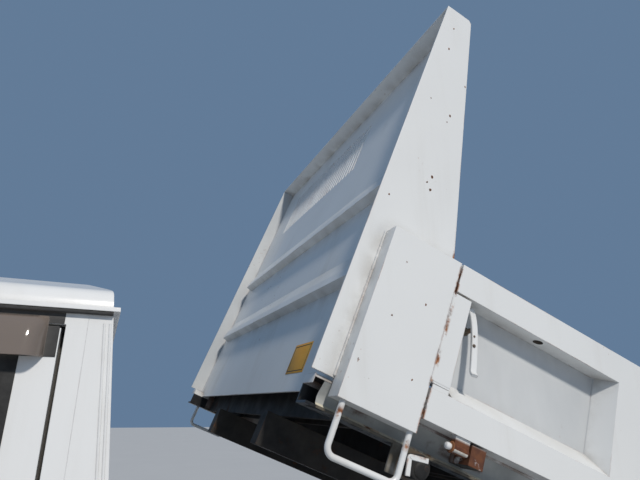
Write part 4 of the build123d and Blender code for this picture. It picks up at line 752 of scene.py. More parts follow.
def camera_axes():
    """The camera's directions ahead, across and down, from the fit to the photo."""
    ahead = Vector((-sin(CAM_YAW) * cos(CAM_PITCH), -cos(CAM_YAW) * cos(CAM_PITCH), sin(CAM_PITCH)))
    right = ahead.cross(Vector(UP)).normalized()
    down = ahead.cross(right)
    across = cos(CAM_ROLL) * right + sin(CAM_ROLL) * down
    below = -sin(CAM_ROLL) * right + cos(CAM_ROLL) * down
    return ahead, across, below


def stand_camera():
    """The camera where the photo was taken, from the fit to its corners."""
    ahead, across, below = camera_axes()
    data = bpy.data.cameras.new("camera")
    data.sensor_width = 36
    data.lens = PHOTO_FOCUS / PHOTO_WIDTH * data.sensor_width
    data.clip_start = 0.05
    camera = add_object("camera", data)
    turn = Matrix((across, -below, -ahead)).transposed()
    camera.matrix_world = Matrix.Translation(CAM_AT) @ turn.to_4x4()
    bpy.context.scene.camera = camera


ROOM_COLOR = (0.40, 0.64, 1.0, 1)
ROOM_STRENGTH = 0.31
SUN_COLOR = (1.0, 0.94, 0.865)
SUN_STRENGTH = 2.6
SUN_ANGLE = radians(5)
SUN_FROM = Vector((-0.09, 0.73, 0.68))


def light_scene():
    """A soft key light from the truck's left, and a bluish room."""
    world = bpy.data.worlds.new("room")
    world.use_nodes = True
    background = world.node_tree.nodes["Background"]
    background.inputs["Color"].default_value = ROOM_COLOR
    background.inputs["Strength"].default_value = ROOM_STRENGTH
    bpy.context.scene.world = world
    sun = bpy.data.lights.new("key", "SUN")
    sun.energy = SUN_STRENGTH
    sun.angle = SUN_ANGLE
    sun.color = SUN_COLOR
    key = add_object("key", sun)
    key.rotation_mode = "QUATERNION"
    key.rotation_quaternion = SUN_FROM.to_track_quat("Z", "Y")


FLOOR_REACH = 40


def lay_floor():
    """A plain pale floor."""
    bm = bmesh.new()
    for x, y in ((-1, -1), (1, -1), (1, 1), (-1, 1)):
        bm.verts.new((x * FLOOR_REACH, y * FLOOR_REACH, 0))
    bm.faces.new(bm.verts[:])
    mesh = bpy.data.meshes.new("floor")
    bm.to_mesh(mesh)
    bm.free()
    shade = new_shade("floor_pale", 0.85)
    color = shade.mix(PALE, PALER, shade.noise(0.8))
    mesh.materials.append(shade.finish(color, None, shade.noise(90, 3), 0.0004, round_edges=0.0))
    add_object("floor", mesh)


stand_camera()
light_scene()
lay_floor()
bpy.context.scene.view_settings.view_transform = "Standard"


# Bed pieces, in the bed's own axes, in metres

POST_L = 0.199
POST_H = 0.423
BED_REAR = -3.091
POST_REAR = BED_REAR + 0.110


def seen(px, py, v):
    """The (u, w) on the bed's plane at v that the photo shows at a pixel."""
    ahead, across, below = camera_axes()
    ray = PHOTO_FOCUS * ahead + (px - PHOTO_WIDTH / 2) * across + (py - PHOTO_HEIGHT / 2) * below
    hit = CAM_AT + ray * (v - CAM_AT.y) / ray.y - BED_FOOT
    return hit.dot(BED_DIR), hit.dot(BED_UP)


# Latch lever of a gate, found on the photo. Columns: pixel x, pixel y, v of its middle line
LEVER = (
    (470.5, 309.0, 0.820),
    (472.6, 316.0, 0.820),
    (474.0, 326.0, 0.822),
    (474.3, 336.5, 0.826),
    (474.0, 350.0, 0.830),
    (473.2, 366.0, 0.835),
    (472.8, 373.0, 0.838),
    (474.6, 376.0, 0.846),
)
# The lever's pin, and the rivets on its face. Columns: pixel x, pixel y, radius in mm, v
LEVER_PIN = (474.2, 330.0, 6.5, 0.826)
LEVER_RIVETS = ((474.3, 336.5, 2.5, 0.8305), (474.0, 346.0, 4.0, 0.8335))
LEVER_W = 0.0175
LEVER_T = 0.008
LEVER_BEND = 0.02
# Where the levers' u is counted from at each end of a gate, and which way
GATE_ENDS = ((0, 1), (POST_REAR - POST_L, -1))


def gate_levers(bm, side):
    """The latch levers at both ends of one gate, flat bars that lean out at the foot."""
    for end, turn in GATE_ENDS:
        path = []
        for px, py, v in LEVER:
            u, w = seen(px, py, v)
            path.append((end + turn * u, side * v, w))
        sweep(bm, rounded_path(path, LEVER_BEND), flat_bar(LEVER_W, LEVER_T), up=LEFT)


def lever_pins(bm, side):
    """Rusty pins that hold the levers off the gate's panel, and the rivets on the levers."""
    for end, turn in GATE_ENDS:
        px, py, size, v = LEVER_PIN
        u, w = seen(px, py, v)
        radius, collar = size * MM, 1.6 * size * MM
        pin = ((-0.001, collar), (0.003, collar), (0.005, radius), (v - GATE_PANEL_V, radius))
        lathe(bm, pin, (end + turn * u, side * GATE_PANEL_V, w), (0, side, 0), 16)
        for px, py, size, v in LEVER_RIVETS:
            u, w = seen(px, py, v)
            radius = size * MM
            rivet = ((-0.002, radius), (0.0015, radius), (0.0025, 0.6 * radius))
            lathe(bm, rivet, (end + turn * u, side * v, w), (0, side, 0), 12)


# The hinges' rods, and what is on them: a section (distance along the rod, radius), and where it
# starts, (along the rod from the block, out from the rod, above it)
HINGE_V = 0.832
HINGE_W = 0.008
RING = ((0.0, 0.0125), (0.0015, 0.0132), (0.003, 0.0122))
RING_AT = (0.0655, 0.0, 0.0)
KNOB = ((-0.002, 0.0062), (0.002, 0.0078), (0.007, 0.0080), (0.0115, 0.0066), (0.0135, 0.003))
KNOB_AT = (0.069, 0.0, 0.0)
# A light stripe along the rusty cylinder: a painted highlight
HIGHLIGHT_STRIPE = ((0.0, 0.0035), (0.001, 0.0045), (0.0385, 0.0045))
HIGHLIGHT_STRIPE_AT = (0.026, 0.0068, -0.0042)


def on_hinges(bm, side, section, at, sides):
    """Rusty rings, painted knobs or light stripes of painted highlight, one on the rod of each gate hinge.
    """
    along, out, rise = at
    for u in HINGES:
        lathe(bm, section, (u + along, side * (HINGE_V + out), HINGE_W + rise), (1, 0, 0), sides)


WELD_STEP = 1.1
WELD_SIDES = 6
RIPPLE = 90


def weld(bm, start, end, size):
    """A weld bead between two points, drawn as close scallops."""
    start, end = Vector(start), Vector(end)
    steps = max(4, int((end - start).length / (WELD_STEP * size)))
    path = [start.lerp(end, i / steps) for i in range(steps + 1)]
    ahead = (end - start).normalized()
    up = Vector(UP) if abs(ahead.z) < 0.8 else Vector(LEFT)
    side = ahead.cross(up).normalized()
    over = side.cross(ahead)
    rings = []
    for i, point in enumerate(path):
        radius = size * (0.8 + 0.3 * (i % 2) + 0.5 * abs(noise.noise(point * RIPPLE)))
        rings.append([bm.verts.new(point + side * a + over * b) for a, b in circle(radius, WELD_SIDES)])
    join_rings(bm, rings)


SEAM_W = (0.112, 0.341)
SEAM_SIZE = 0.0018
PLATE_WELD_SIZE = 0.003
PLATE_FOOT_W = 0.045


@both
def post_welds(bm, side):
    """Beads down the posts' seams and along the headboard's side plates."""
    low, high = SEAM_W
    face, plate = side * (BED_HALF + 0.0002), side * (PLATE_V + 0.001)
    for u in (-POST_L, POST_REAR):
        weld(bm, (u, face, low), (u, face, high), SEAM_SIZE)
    weld(bm, (0.001 - POST_L, plate, POST_H), (-0.004, plate, POST_H), PLATE_WELD_SIZE)
    weld(bm, (0.002, plate, PLATE_FOOT_W), (0.002, plate, POST_H), PLATE_WELD_SIZE)


# Found on the photo: the middle of the buffer's face, the hole in it, and the bent bar's middle line
BUFFER_FACE = (420.8, 471.0)
BUFFER_HOLE = (425.9, 468.8)
BUFFER_BAR = ((407.2, 476.0), (409.6, 456.5), (428.0, 461.5))
BUFFER_V = 0.826
BUFFER_BAR_V = 0.8257
BUFFER_BAR_SECTION = (0.0115, 0.005)
BUFFER_BAR_BEND = 0.004
# Sections of the rim and of the hole's black disc of painted shade: (distance out from the buffer's face,
# radius)
BUFFER_RIM = ((-0.003, 0.0168), (0.0012, 0.0168), (0.0028, 0.0150), (0.0034, 0.0110))
BUFFER_HOLE_SHADE = ((0.002, 0.0052), (0.0040, 0.0052))


@both
def on_buffers(bm, side, at, section, sides):
    """A rounded rim or a dark hole on both buffers' faces, at a point of the photo."""
    u, w = seen(*at, BUFFER_V)
    # For the holes, a black disc: painted shade of the hole
    lathe(bm, section, (u, side * BUFFER_V, w), (0, side, 0), sides)


@both
def buffer_bars(bm, side):
    """White bent bars round the upper front of each buffer."""
    path = []
    for px, py in BUFFER_BAR:
        u, w = seen(px, py, BUFFER_BAR_V)
        path.append((u, side * BUFFER_BAR_V, w))
    sweep(bm, rounded_path(path, BUFFER_BAR_BEND), flat_bar(*BUFFER_BAR_SECTION), up=LEFT)


# Chips on the near side, found on the photo. Columns: pixel x, pixel y, radius in mm, plane
CHIPS = (
    (454, 29, 3.0, PLATE_V),
    (449, 49, 3.5, PLATE_V),
    (465, 87, 3.0, PLATE_V),
    (431, 98, 2.5, PLATE_V),
    (450, 116, 4.0, PLATE_V),
    (447, 122, 2.0, PLATE_V),
    (432, 177, 5.0, PLATE_V),
    (427, 182, 3.0, PLATE_V),
    (430, 190, 4.5, PLATE_V),
    (389, 194, 3.0, PLATE_V),
    (392, 315, 2.5, BED_HALF),
    (426, 305, 3.0, BED_HALF),
    (412, 380, 2.5, BED_HALF),
    (407, 262, 2.0, BED_HALF),
)
# They are taller than wide, and their outlines are jagged by noise
CHIP_POINTS = 11
CHIP_TALL = 1.25


def paint_chips(bm, share, lift):
    """Broken-out spots of paint, drawn at a share of their size."""
    for px, py, size, v in CHIPS:
        u, w = seen(px, py, v)
        outline = []
        for x, y in circle(1.0, CHIP_POINTS):
            jag = 0.75 + 0.7 * noise.noise(Vector((px + x, py + y, 3)))
            reach = share * size * MM * jag
            outline.append((u + reach * x, w + CHIP_TALL * reach * y))
        prism(bm, outline, v - 0.001, v + lift)


# Blank label on the headboard: low and high corner (v, w), and a frame line drawn inside its edge
LABEL_LOW = Vector((0.440, 0.067))
LABEL_HIGH = Vector((0.572, 0.154))
LABEL_T = 0.0008
LINE_INSET = Vector((0.006, 0.006))
LINE_W = 0.0022
LINE_U = (0.0004, 0.0010)


def label_sheet(bm):
    """The label's bare sheet."""
    block(bm, (0.0, *LABEL_LOW), (LABEL_T, *LABEL_HIGH), 0.0002)


def label_frame(bm):
    """Thin dark lines along the label's edges."""
    v0, w0 = LABEL_LOW + LINE_INSET
    v1, w1 = LABEL_HIGH - LINE_INSET
    back, front = LINE_U
    for low, high in ((w0, w0 + LINE_W), (w1 - LINE_W, w1)):
        block(bm, (back, v0, low), (front, v1, high))
    for low, high in ((v0, v0 + LINE_W), (v1 - LINE_W, v1)):
        block(bm, (back, low, w0 + LINE_W), (front, high, w1 - LINE_W))


# The headboard's ribs: their lower edges, where they end, and the opening's outline (u, w above the edge)
RIBS = (0.300, 0.590)
RIB_END_V = (0.724, 0.7256)
RIB_OPENING = ((0.001, 0.010), (0.022, 0.015), (0.018, 0.040), (0.001, 0.082))


@both
def rib_ends(bm, side):
    """Dark sheets in the open ends of the headboard's pressed ribs: painted shade of their hollows."""
    near, far = RIB_END_V
    for low in RIBS:
        outline = [(u, low + w) for u, w in RIB_OPENING]
        prism(bm, outline, side * near, side * far)


# Bolts through the posts' feet (u, w), and the tailgate's pins
POST_BOLTS = ((-0.030, 0.030), (-0.165, 0.030))
POST_BOLT_V = PLATE_V - 0.046
POST_BOLT_R = 0.008
TAILGATE_PIN = (BED_REAR + 0.025, BED_HALF - 0.003, 0.452)
PIN_HEAD = ((-0.004, 0.019), (0.0008, 0.019), (0.0016, 0.017))


@both
def bed_bolts(bm, side):
    """Bolts through the posts' feet, and at the tailgate's pins."""
    u_pin, v_pin, w_pin = TAILGATE_PIN
    for u, w in POST_BOLTS:
        bolt(bm, (u, side * POST_BOLT_V, w), (0, -side, 0), POST_BOLT_R)
    lathe(bm, PIN_HEAD, (u_pin, side * v_pin, w_pin), (0, side, 0), 24)


# Covers of the rails' front ends: low and high u, v and w
COVER_U = (0.0402, 0.0418)
COVER_V = (0.727, 0.790)
COVER_W = (0.014, 0.0365)


def side_block(bm, side, us, vs, ws, bevel=0.0):
    """A block between low and high u, v and w, on one side of the bed."""
    (u0, u1), (v0, v1), (w0, w1) = us, sorted(side * v for v in vs), ws
    block(bm, (u0, v0, w0), (u1, v1, w1), bevel)


@both
def rail_covers(bm, side):
    """White covers on the front ends of the rails, down to the board's lower edge."""
    side_block(bm, side, COVER_U, COVER_V, COVER_W, 0.0006)


# The grey skin over a rail's open side, with painted shade and light: its hollow section (v, w), and its
# ends
RAIL_SKIN = (
    (0.7857, 0.0295),
    (0.7790, 0.0180),
    (0.7710, 0.0040),
    (0.7690, -0.0060),
    (0.7735, -0.0180),
    (0.7857, -0.0295),
)
RAIL_SKIN_T = 0.0015
RAIL_SKIN_U = (-3.050, 0.014)


@both
def rail_skins(bm, side):
    """Skins over the open sides of the rails, hollow along the middle."""
    outline = [(side * v, w) for v, w in RAIL_SKIN]
    outline += [(side * (v - RAIL_SKIN_T), w) for v, w in reversed(RAIL_SKIN)]
    prism(bm, outline, *RAIL_SKIN_U, axes=(1, 2, 0))


# Thin lips that narrow the slot below the posts' strips: low and high v and w, and their reach in u
SLOT_V = (0.8428, 0.8447)
LIP_W = (0.1000, 0.1150)
STRIP_FOOT_W = (0.1160, 0.1300)
STRIP_REACH = 0.053
LIP_INSET = 0.0075


@both
def strip_feet(bm, side):
    """Feet of the posts' strips, down to the slot over the gate's bottom rail."""
    for u in (-POST_L - STRIP_REACH, POST_REAR):
        side_block(bm, side, (u, u + STRIP_REACH), SLOT_V, STRIP_FOOT_W)


def gate_lips(bm, side):
    """Lips on the gate's bottom rail, up to the slot under the posts' strips."""
    for start, out in ((-POST_L, -1), (POST_REAR, 1)):
        ends = sorted((start + out * LIP_INSET, start + out * STRIP_REACH))
        side_block(bm, side, ends, SLOT_V, LIP_W)


DRAIN_U = -0.490
DRAIN_V = BED_HALF - 0.026
DRAIN_W = 0.348
DRAIN_SHADE = ((0.0, 0.0125), (0.0006, 0.0125))


def drain_hole_shades(bm, side):
    """Dark discs in the underside of the gate's top rail, near each end: painted shade of its drain holes.
    """
    for u in (DRAIN_U, POST_REAR - POST_L - DRAIN_U):
        lathe(bm, DRAIN_SHADE, (u, side * DRAIN_V, DRAIN_W), (0, 0, -1), 20)


# On the hoist's barrel: rings at distances from its foot, and the oil port with its height over the axis
BARREL_RING = ((0.0, 0.062), (0.004, 0.066), (0.030, 0.066), (0.034, 0.060))
BARREL_RINGS = (0.812, 0.070)
OIL_PORT = ((0, 0.014), (0.012, 0.014), (0.014, 0.010), (0.026, 0.010))
OIL_PORT_ALONG = 0.120
OIL_PORT_RISE = 0.055


def hoist_rings(bm):
    """Gland nut and foot ring of the hoist's barrel, with its oil port."""
    foot = Vector(JOINTS["barrel_swing"]["pos_m"])
    along = Vector(JOINTS["rod_stroke"]["axis"]).normalized()
    along = along if along.x > 0 else -along
    for distance in BARREL_RINGS:
        lathe(bm, BARREL_RING, foot + along * distance, along, 32)
    over = along.cross(Vector(LEFT)).normalized()
    over = over if over.z > 0 else -over
    lathe(bm, OIL_PORT, foot + along * OIL_PORT_ALONG + over * OIL_PORT_RISE, over, 6)


def dress_bed():
    for name, side in SIDES:
        gate = "gate_" + name
        piece("gate_levers_" + name, gate_levers, gate, "bed", "body_paint", side, matrix=BED)
        piece("gate_lever_pins_" + name, lever_pins, gate, "cast", "steel", side, matrix=BED)
        piece("gate_lips_" + name, gate_lips, gate, "bed", "body_paint", side, matrix=BED)
        ring = (side, RING, RING_AT, 24)
        # The light stripes are a painted highlight on the rusty hinge cylinders
        highlight = (side, HIGHLIGHT_STRIPE, HIGHLIGHT_STRIPE_AT, 14)
        knob = (side, KNOB, KNOB_AT, 18)
        piece("gate_hinge_rings_" + name, on_hinges, "bed", "rust", "steel", *ring, matrix=BED)
        piece("gate_hinge_highlights_" + name, on_hinges, gate, "worn", "body_paint", *highlight, matrix=BED)
        piece("gate_hinge_knobs_" + name, on_hinges, "bed", "cab", "body_paint", *knob, matrix=BED)
        piece("gate_drain_holes_" + name, drain_hole_shades, gate, "dark", "body_paint", side, matrix=BED)
    for name, draw, material, slot, *args in (
        ("rail_covers", rail_covers, "bed", "body_paint"),
        ("post_welds", post_welds, "bed", "body_paint"),
        ("rail_skins", rail_skins, "stained", "body_paint"),
        ("strip_feet", strip_feet, "bed", "body_paint"),
        ("buffer_faces", on_buffers, "buffer", "rubber", BUFFER_FACE, BUFFER_RIM, 32),
        ("buffer_holes", on_buffers, "black", "rubber", BUFFER_HOLE, BUFFER_HOLE_SHADE, 20),
        ("buffer_bars", buffer_bars, "bed", "body_paint"),
        ("paint_chips", paint_chips, "rust", "body_paint", 1.0, 0.0003),
        ("paint_pits", paint_chips, "dark", "body_paint", 0.5, 0.0005),
        ("blank_label", label_sheet, "label", "black_plastic"),
        ("label_frame", label_frame, "plastic", "black_plastic"),
        ("rib_end_openings", rib_ends, "dark", "body_paint"),
        ("bed_bolts", bed_bolts, "zinc", "steel"),
    ):
        piece(name, draw, "bed", material, slot, *args, matrix=BED)
    piece("hoist_rings", hoist_rings, "barrel", "steel", "steel")


dress_bed()


# Cab pieces

CAB_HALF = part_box("cab_sides")[1].y
# The cab's middle, and a y outside it: where rays at its faces and sides start from
CAB_MID = Vector((1.6, 0, 0))
OUTSIDE = 1.2
BELT_Z = 1.240
ROOF_Z = 1.900
LEAN = 0.044 / (ROOF_Z - BELT_Z)
DOOR_REAR = 1.128
DOOR_TOP = 1.872
DOOR_FRONT = 2.160
DOOR_TOP_FRONT = 1.950
DOOR_FOOT = 0.660
DOOR_BEND_Z = 1.30
PANEL_T = 0.045
SEAL_IN = 0.0035
SEAL_SECTION = (0.030, 0.008)
SEAL_BEND = 0.012


def skin(z):
    """How far out the cab's side stands at a height."""
    return CAB_HALF - LEAN * max(0.0, z - BELT_Z)


def door_seals(bm, side):
    """Rubber behind the gap round one door."""
    outline = (
        (DOOR_REAR + SEAL_IN, DOOR_FOOT),
        (DOOR_REAR + SEAL_IN, DOOR_TOP - SEAL_IN),
        (DOOR_TOP_FRONT - 0.002, DOOR_TOP - SEAL_IN),
        (DOOR_FRONT - SEAL_IN, DOOR_BEND_Z),
        (DOOR_FRONT - SEAL_IN, DOOR_FOOT),
    )
    depth = PANEL_T + SEAL_IN
    path = [(x, side * (skin(z) - depth), z) for x, z in outline]
    sweep(bm, rounded_path(path, SEAL_BEND), flat_bar(*SEAL_SECTION), up=LEFT)


# Side window: corners (x, z) of its opening, from the rear foot round
WINDOW = ((1.196, 1.320), (1.196, 1.832), (1.890, 1.832), (2.070, 1.320))


def loop_of(corners, inset, radius):
    """A closed outline with rounded corners, drawn in by inset, the same count for any radius."""
    count = len(corners)
    drawn = []
    for i, corner in enumerate(corners):
        before, after = corners[i - 1], corners[(i + 1) % count]
        one = (Vector(before) - Vector(corner)).normalized()
        two = (Vector(after) - Vector(corner)).normalized()
        reach = inset / max(0.2, abs(one.cross(two)))
        drawn.append(Vector(corner) + (one + two) * reach)
    loop = []
    for i, corner in enumerate(drawn):
        before, after = drawn[i - 1], drawn[(i + 1) % count]
        start = corner + (before - corner).normalized() * radius
        end = corner + (after - corner).normalized() * radius
        loop += bend(start, corner, end, 6)
    return loop


def ring_band(bm, outer, inner, place, proud, sunk):
    """A band between two outlines, from proud of the skin to sunk below it."""
    rings = []
    for loop, depth in ((outer, sunk), (outer, -proud * 0.4), (inner, -proud), (inner, sunk)):
        rings.append([bm.verts.new(place(a, b, depth)) for a, b in loop])
    join_rings(bm, rings, closed=True)


# How rubbers are drawn in from their opening: (inset, corner radius) of the outer and the inner edge
WINDOW_EDGES = ((-0.003, 0.006), (0.022, 0.045))
SCREEN_EDGES = ((-0.007, 0.066), (0.020, 0.045))
WINDOW_BAND = (0.002, 0.020)
SCREEN_BAND = (0.003, 0.016)


def window_rubber(bm, side):
    """Rubber round one door's window."""

    def place(x, z, depth):
        return Vector((x, side * (skin(z) - depth), z))

    outer, inner = (loop_of(WINDOW, *edge) for edge in WINDOW_EDGES)
    ring_band(bm, outer, inner, place, *WINDOW_BAND)


def on_end(node, y, z, ahead=1):
    """Where a node is met from ahead of the cab, or with ahead -1 from behind it, and the normal there."""
    return surface(node, (CAB_MID.x + 3 * ahead, y, z), (-ahead, 0, 0))


# The glass lies this far behind the panel round it; the panel's face is at least FACE_X from CAB_MID
GLASS_IN = 0.018
FACE_X = 0.4
NO_FACE_X = 0.6


def face_place(ahead):
    """A function that places (y, z, depth) on the cab's front or back."""
    panel = "cab_front_panel" if ahead > 0 else "cab_back_panel"

    def place(y, z, depth):
        hit, normal = on_end(panel, y, z, ahead)
        if hit is None or ahead * (hit.x - CAB_MID.x) < FACE_X:
            hit, normal = on_end("cab_glass", y, z, ahead)
            depth -= GLASS_IN
        if hit is None:
            return Vector((CAB_MID.x + ahead * NO_FACE_X, y, z))
        return hit - normal * depth

    return place


# Screen and rear window: half width, lowest and highest z
SCREEN = (0.690, 1.330, 1.860)
REAR_WINDOW = (0.560, 1.350, 1.812)


def screen_rubbers(bm):
    """Rubber round the windscreen and the rear window."""
    for sizes, ahead in ((SCREEN, 1), (REAR_WINDOW, -1)):
        outer, inner = (rounded_frame(*sizes, *edge) for edge in SCREEN_EDGES)
        ring_band(bm, outer, inner, face_place(ahead), *SCREEN_BAND)


def rounded_frame(half, low, high, inset, radius):
    """A rounded rectangle in (y, z), drawn in by inset, with points along its sides too."""
    y, z0, z1 = half - inset - radius, low + inset + radius, high - inset - radius
    centres = [Vector(centre) for centre in ((y, z1), (-y, z1), (-y, z0), (y, z0))]
    loop = []
    for i, centre in enumerate(centres):
        for k in range(7):
            turn = radians(90 * i + 15 * k)
            away = radius * Vector((cos(turn), sin(turn)))
            loop.append(centre + away)
        following = centres[(i + 1) % 4]
        for k in range(1, 12):
            loop.append(centre.lerp(following, k / 12) + away)
    return loop


# Smoked visor over a door's window: its section (out from the skin, z), and its ends' x and rounding
VISOR = ((0.003, 1.8850), (0.015, 1.879), (0.0235, 1.864), (0.0285, 1.842), (0.0335, 1.8135))
VISOR_T = 0.003
VISOR_REAR = 1.156
VISOR_FRONT = 1.935
VISOR_ROUND = 0.027
VISOR_STEPS = 60
VISOR_END = 0.06


def visor(bm, side):
    """One visor, bulging out between rounded ends."""
    length = VISOR_FRONT - VISOR_REAR
    rings = []
    for i in range(VISOR_STEPS + 1):
        t = (1 - cos(pi * i / VISOR_STEPS)) / 2
        near_end = min(1.0, min(t, 1 - t) * length / VISOR_ROUND)
        bulge = max(VISOR_END, sin(pi / 2 * near_end) ** 0.8)
        section = [(out * bulge, z) for out, z in VISOR]
        section += [(max(0.0, out * bulge - VISOR_T), z - 0.001) for out, z in reversed(VISOR)]
        x = VISOR_REAR + t * length
        rings.append([bm.verts.new((x, side * (skin(z) + out), z)) for out, z in section])
    join_rings(bm, rings)


# Black tape along a door's top, and above it between the drip rail and the door: corners (x, z)
DOOR_TAPE = ((1.137, 1.8135), (1.137, 1.8680), (1.944, 1.8680), (1.962, 1.8135))
HEADER_TAPE = ((1.131, 1.8724), (1.131, 1.8930), (1.955, 1.8930), (1.961, 1.8724))
TAPE_DEPTHS = (-0.0008, 0.001)


def tape(bm, side, corners):
    """Tape on the cab's side, between its corners."""
    rings = []
    for depth in TAPE_DEPTHS:
        rings.append([bm.verts.new((x, side * (skin(z) - depth), z)) for x, z in corners])
    join_rings(bm, rings)


# The handle's cup, the grip in it and the lock beside it
HANDLE_X = (1.175, 1.305)
HANDLE_Z = 1.105
CUP_Y = (-0.004, 0.0015)
CUP_HALF = 0.026
GRIP_IN = 0.012
GRIP_OUT = 0.020
GRIP_SECTION = (0.008, 0.022)
LOCK = ((0, 0.009), (0.0015, 0.009), (0.003, 0.007))
LOCK_AHEAD = 0.03


def door_handle(bm, side):
    """Pull handle in its cup, with the lock beside it."""
    y = skin(HANDLE_Z)
    rear, front = HANDLE_X
    low, high = (side * (y + out) for out in CUP_Y)
    block(bm, (rear, low, HANDLE_Z - CUP_HALF), (front, high, HANDLE_Z + CUP_HALF), 0.0012)
    grip = (
        (rear + GRIP_IN, side * y, HANDLE_Z),
        (rear + 2 * GRIP_IN, side * (y + GRIP_OUT), HANDLE_Z),
        (front - 2 * GRIP_IN, side * (y + GRIP_OUT), HANDLE_Z),
        (front - GRIP_IN, side * y, HANDLE_Z),
    )
    sweep(bm, rounded_path(grip, GRIP_IN), flat_bar(*GRIP_SECTION))
    lathe(bm, LOCK, (front + LOCK_AHEAD, side * (y - 0.0005), HANDLE_Z), (0, side, 0))


BELT_STRIP_Z = 1.316
BELT_STRIP_X = (1.190, 2.064)
BELT_STRIP_SECTION = (0.006, 0.012)


def belt_strip(bm, side):
    """Weather strip along the foot of one door's window."""
    y = side * (skin(BELT_STRIP_Z) + 0.001)
    sweep(bm, [(x, y, BELT_STRIP_Z) for x in BELT_STRIP_X], flat_bar(*BELT_STRIP_SECTION))


def front_path(y0, y1, z, out, steps=24):
    """Points across the cab's front at a height, standing out from its panel."""
    path = []
    for i in range(steps + 1):
        y = y0 + (y1 - y0) * i / steps
        hits = [on_end(node, y, z) for node in ("cab_front_panel", "headlamps")]
        hits = [(hit, normal) for hit, normal in hits if hit is not None]
        if hits:
            hit, normal = max(hits, key=lambda found: found[0].x)
            path.append(hit + normal * out)
    return path


GRILLE_HALF = 0.430
GRILLE_Z = (0.700, 0.822)
FIELD_T = 0.004
SLATS = 5
SLAT_IN = 0.012
SLAT_PAST = 0.006
SLAT_SECTION = (0.012, 0.0075)


def grille_back(bm):
    """Black field between the headlamps."""
    low, high = GRILLE_Z
    path = front_path(-GRILLE_HALF, GRILLE_HALF, (low + high) / 2, 0.0008)
    sweep(bm, path, flat_bar(FIELD_T, high - low))


def grille_slats(bm):
    """Slats over the black field."""
    low, high = GRILLE_Z[0] + SLAT_IN, GRILLE_Z[1] - SLAT_IN
    half = GRILLE_HALF + SLAT_PAST
    for i in range(SLATS):
        path = front_path(-half, half, low + i * (high - low) / (SLATS - 1), 0.004)
        sweep(bm, path, flat_bar(*SLAT_SECTION))


# Indicators: the middle of the corner they go round, the first turn, the steps and how far one turns
INDICATOR_AT = (2.0, 0.55, 0.760)
INDICATOR_TURN = 34
INDICATOR_STEPS = 15
INDICATOR_STEP = 3.4
INDICATOR_SECTION = (0.014, 0.085)


@both
def indicators(bm, side):
    """Amber lamps round the front corners."""
    x, y, z = INDICATOR_AT
    centre = Vector((x, side * y, z))
    path = []
    for i in range(INDICATOR_STEPS):
        turn = radians(INDICATOR_TURN + INDICATOR_STEP * i)
        away = Vector((cos(turn), side * sin(turn), 0))
        hit, _ = surface("cab_front_panel", centre + away * OUTSIDE, -away)
        if hit is not None:
            path.append(hit + away * 0.001)
    sweep(bm, path, flat_bar(*INDICATOR_SECTION))


# Headlamps: the middle of one's face, its bowls' middles to both sides of it, and how far the left one
# of each pair is set back
LAMP_AT = (2.286, 0.590, 0.760)
BOWL_STEPS = ((-0.060, 0.0), (0.060, 0.006))
BOWL = ((-0.030, 0.012), (-0.026, 0.030), (-0.012, 0.046), (0.0, 0.055), (0.001, 0.052), (-0.012, 0.043))


@both
def lamp_bowls(bm, side):
    """Silver reflectors inside the headlamps, two a side."""
    x, y, z = LAMP_AT
    for offset, back in BOWL_STEPS:
        lathe(bm, BOWL, (x - back, side * y + offset, z), (1, 0, 0), 28)


# Mirror plates: middle (y, z), half width, half height and corner radius
MIRROR_AT = (0.955, 1.560)
MIRROR_HALF = (0.064, 0.137)
MIRROR_ROUND = 0.022


@both
def mirror_glass(bm, side):
    """Mirror plates on the rear of both door mirrors."""
    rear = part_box("mirrors")[0].x
    across, upright = (half - MIRROR_ROUND for half in MIRROR_HALF)
    outline = []
    for i, (cy, cz) in enumerate(((1, 1), (-1, 1), (-1, -1), (1, -1))):
        for k in range(6):
            turn = radians(90 * i + 18 * k)
            y = side * MIRROR_AT[0] + cy * across + MIRROR_ROUND * cos(turn)
            outline.append((y, MIRROR_AT[1] + cz * upright + MIRROR_ROUND * sin(turn)))
    prism(bm, outline, rear - 0.0005, rear + 0.001, axes=(1, 2, 0))


# Wipers: pivot y, blade's ends in y
WIPERS = ((0.500, 0.640, 0.080), (-0.080, 0.060, -0.500))
WIPER_Z = 1.362
PIVOT_Z = 1.300
BLADE_STEPS = 12
BLADE_OUT = 0.008
BLADE_SECTION = (0.010, 0.008)
SPINE_SECTION = (0.004, 0.012)
SPINE_SHIFT = Vector((0.006, 0, 0.001))
ARM_FOOT = Vector((0.012, 0, 0))
ARM_KNEE = Vector((0.018, 0, 0))
ARM_KNEE_SHARE = 0.4
ARM_END = Vector((0.010, 0, 0))
ARM_SECTION = (0.008, 0.013)
PIVOT = ((-0.006, 0.013), (0.012, 0.013), (0.016, 0.009))


def wipers(bm):
    """Two parked wipers: arms from the cowl, and blades on the screen."""
    for pivot_y, y0, y1 in WIPERS:
        blade = []
        for i in range(BLADE_STEPS + 1):
            hit, normal = on_end("cab_glass", y0 + (y1 - y0) * i / BLADE_STEPS, WIPER_Z)
            if hit is not None:
                blade.append(hit + normal * BLADE_OUT)
        sweep(bm, blade, flat_bar(*BLADE_SECTION))
        sweep(bm, [point + SPINE_SHIFT for point in blade[1:-1]], flat_bar(*SPINE_SECTION))
        foot, _ = on_end("cab_front_panel", pivot_y, PIVOT_Z)
        middle = blade[len(blade) // 2] + ARM_END
        arm = (foot + ARM_FOOT, foot.lerp(middle, ARM_KNEE_SHARE) + ARM_KNEE, middle)
        sweep(bm, rounded_path(arm, 0.05), flat_bar(*ARM_SECTION))
        lathe(bm, PIVOT, foot, (1, 0, 0.2), 18)


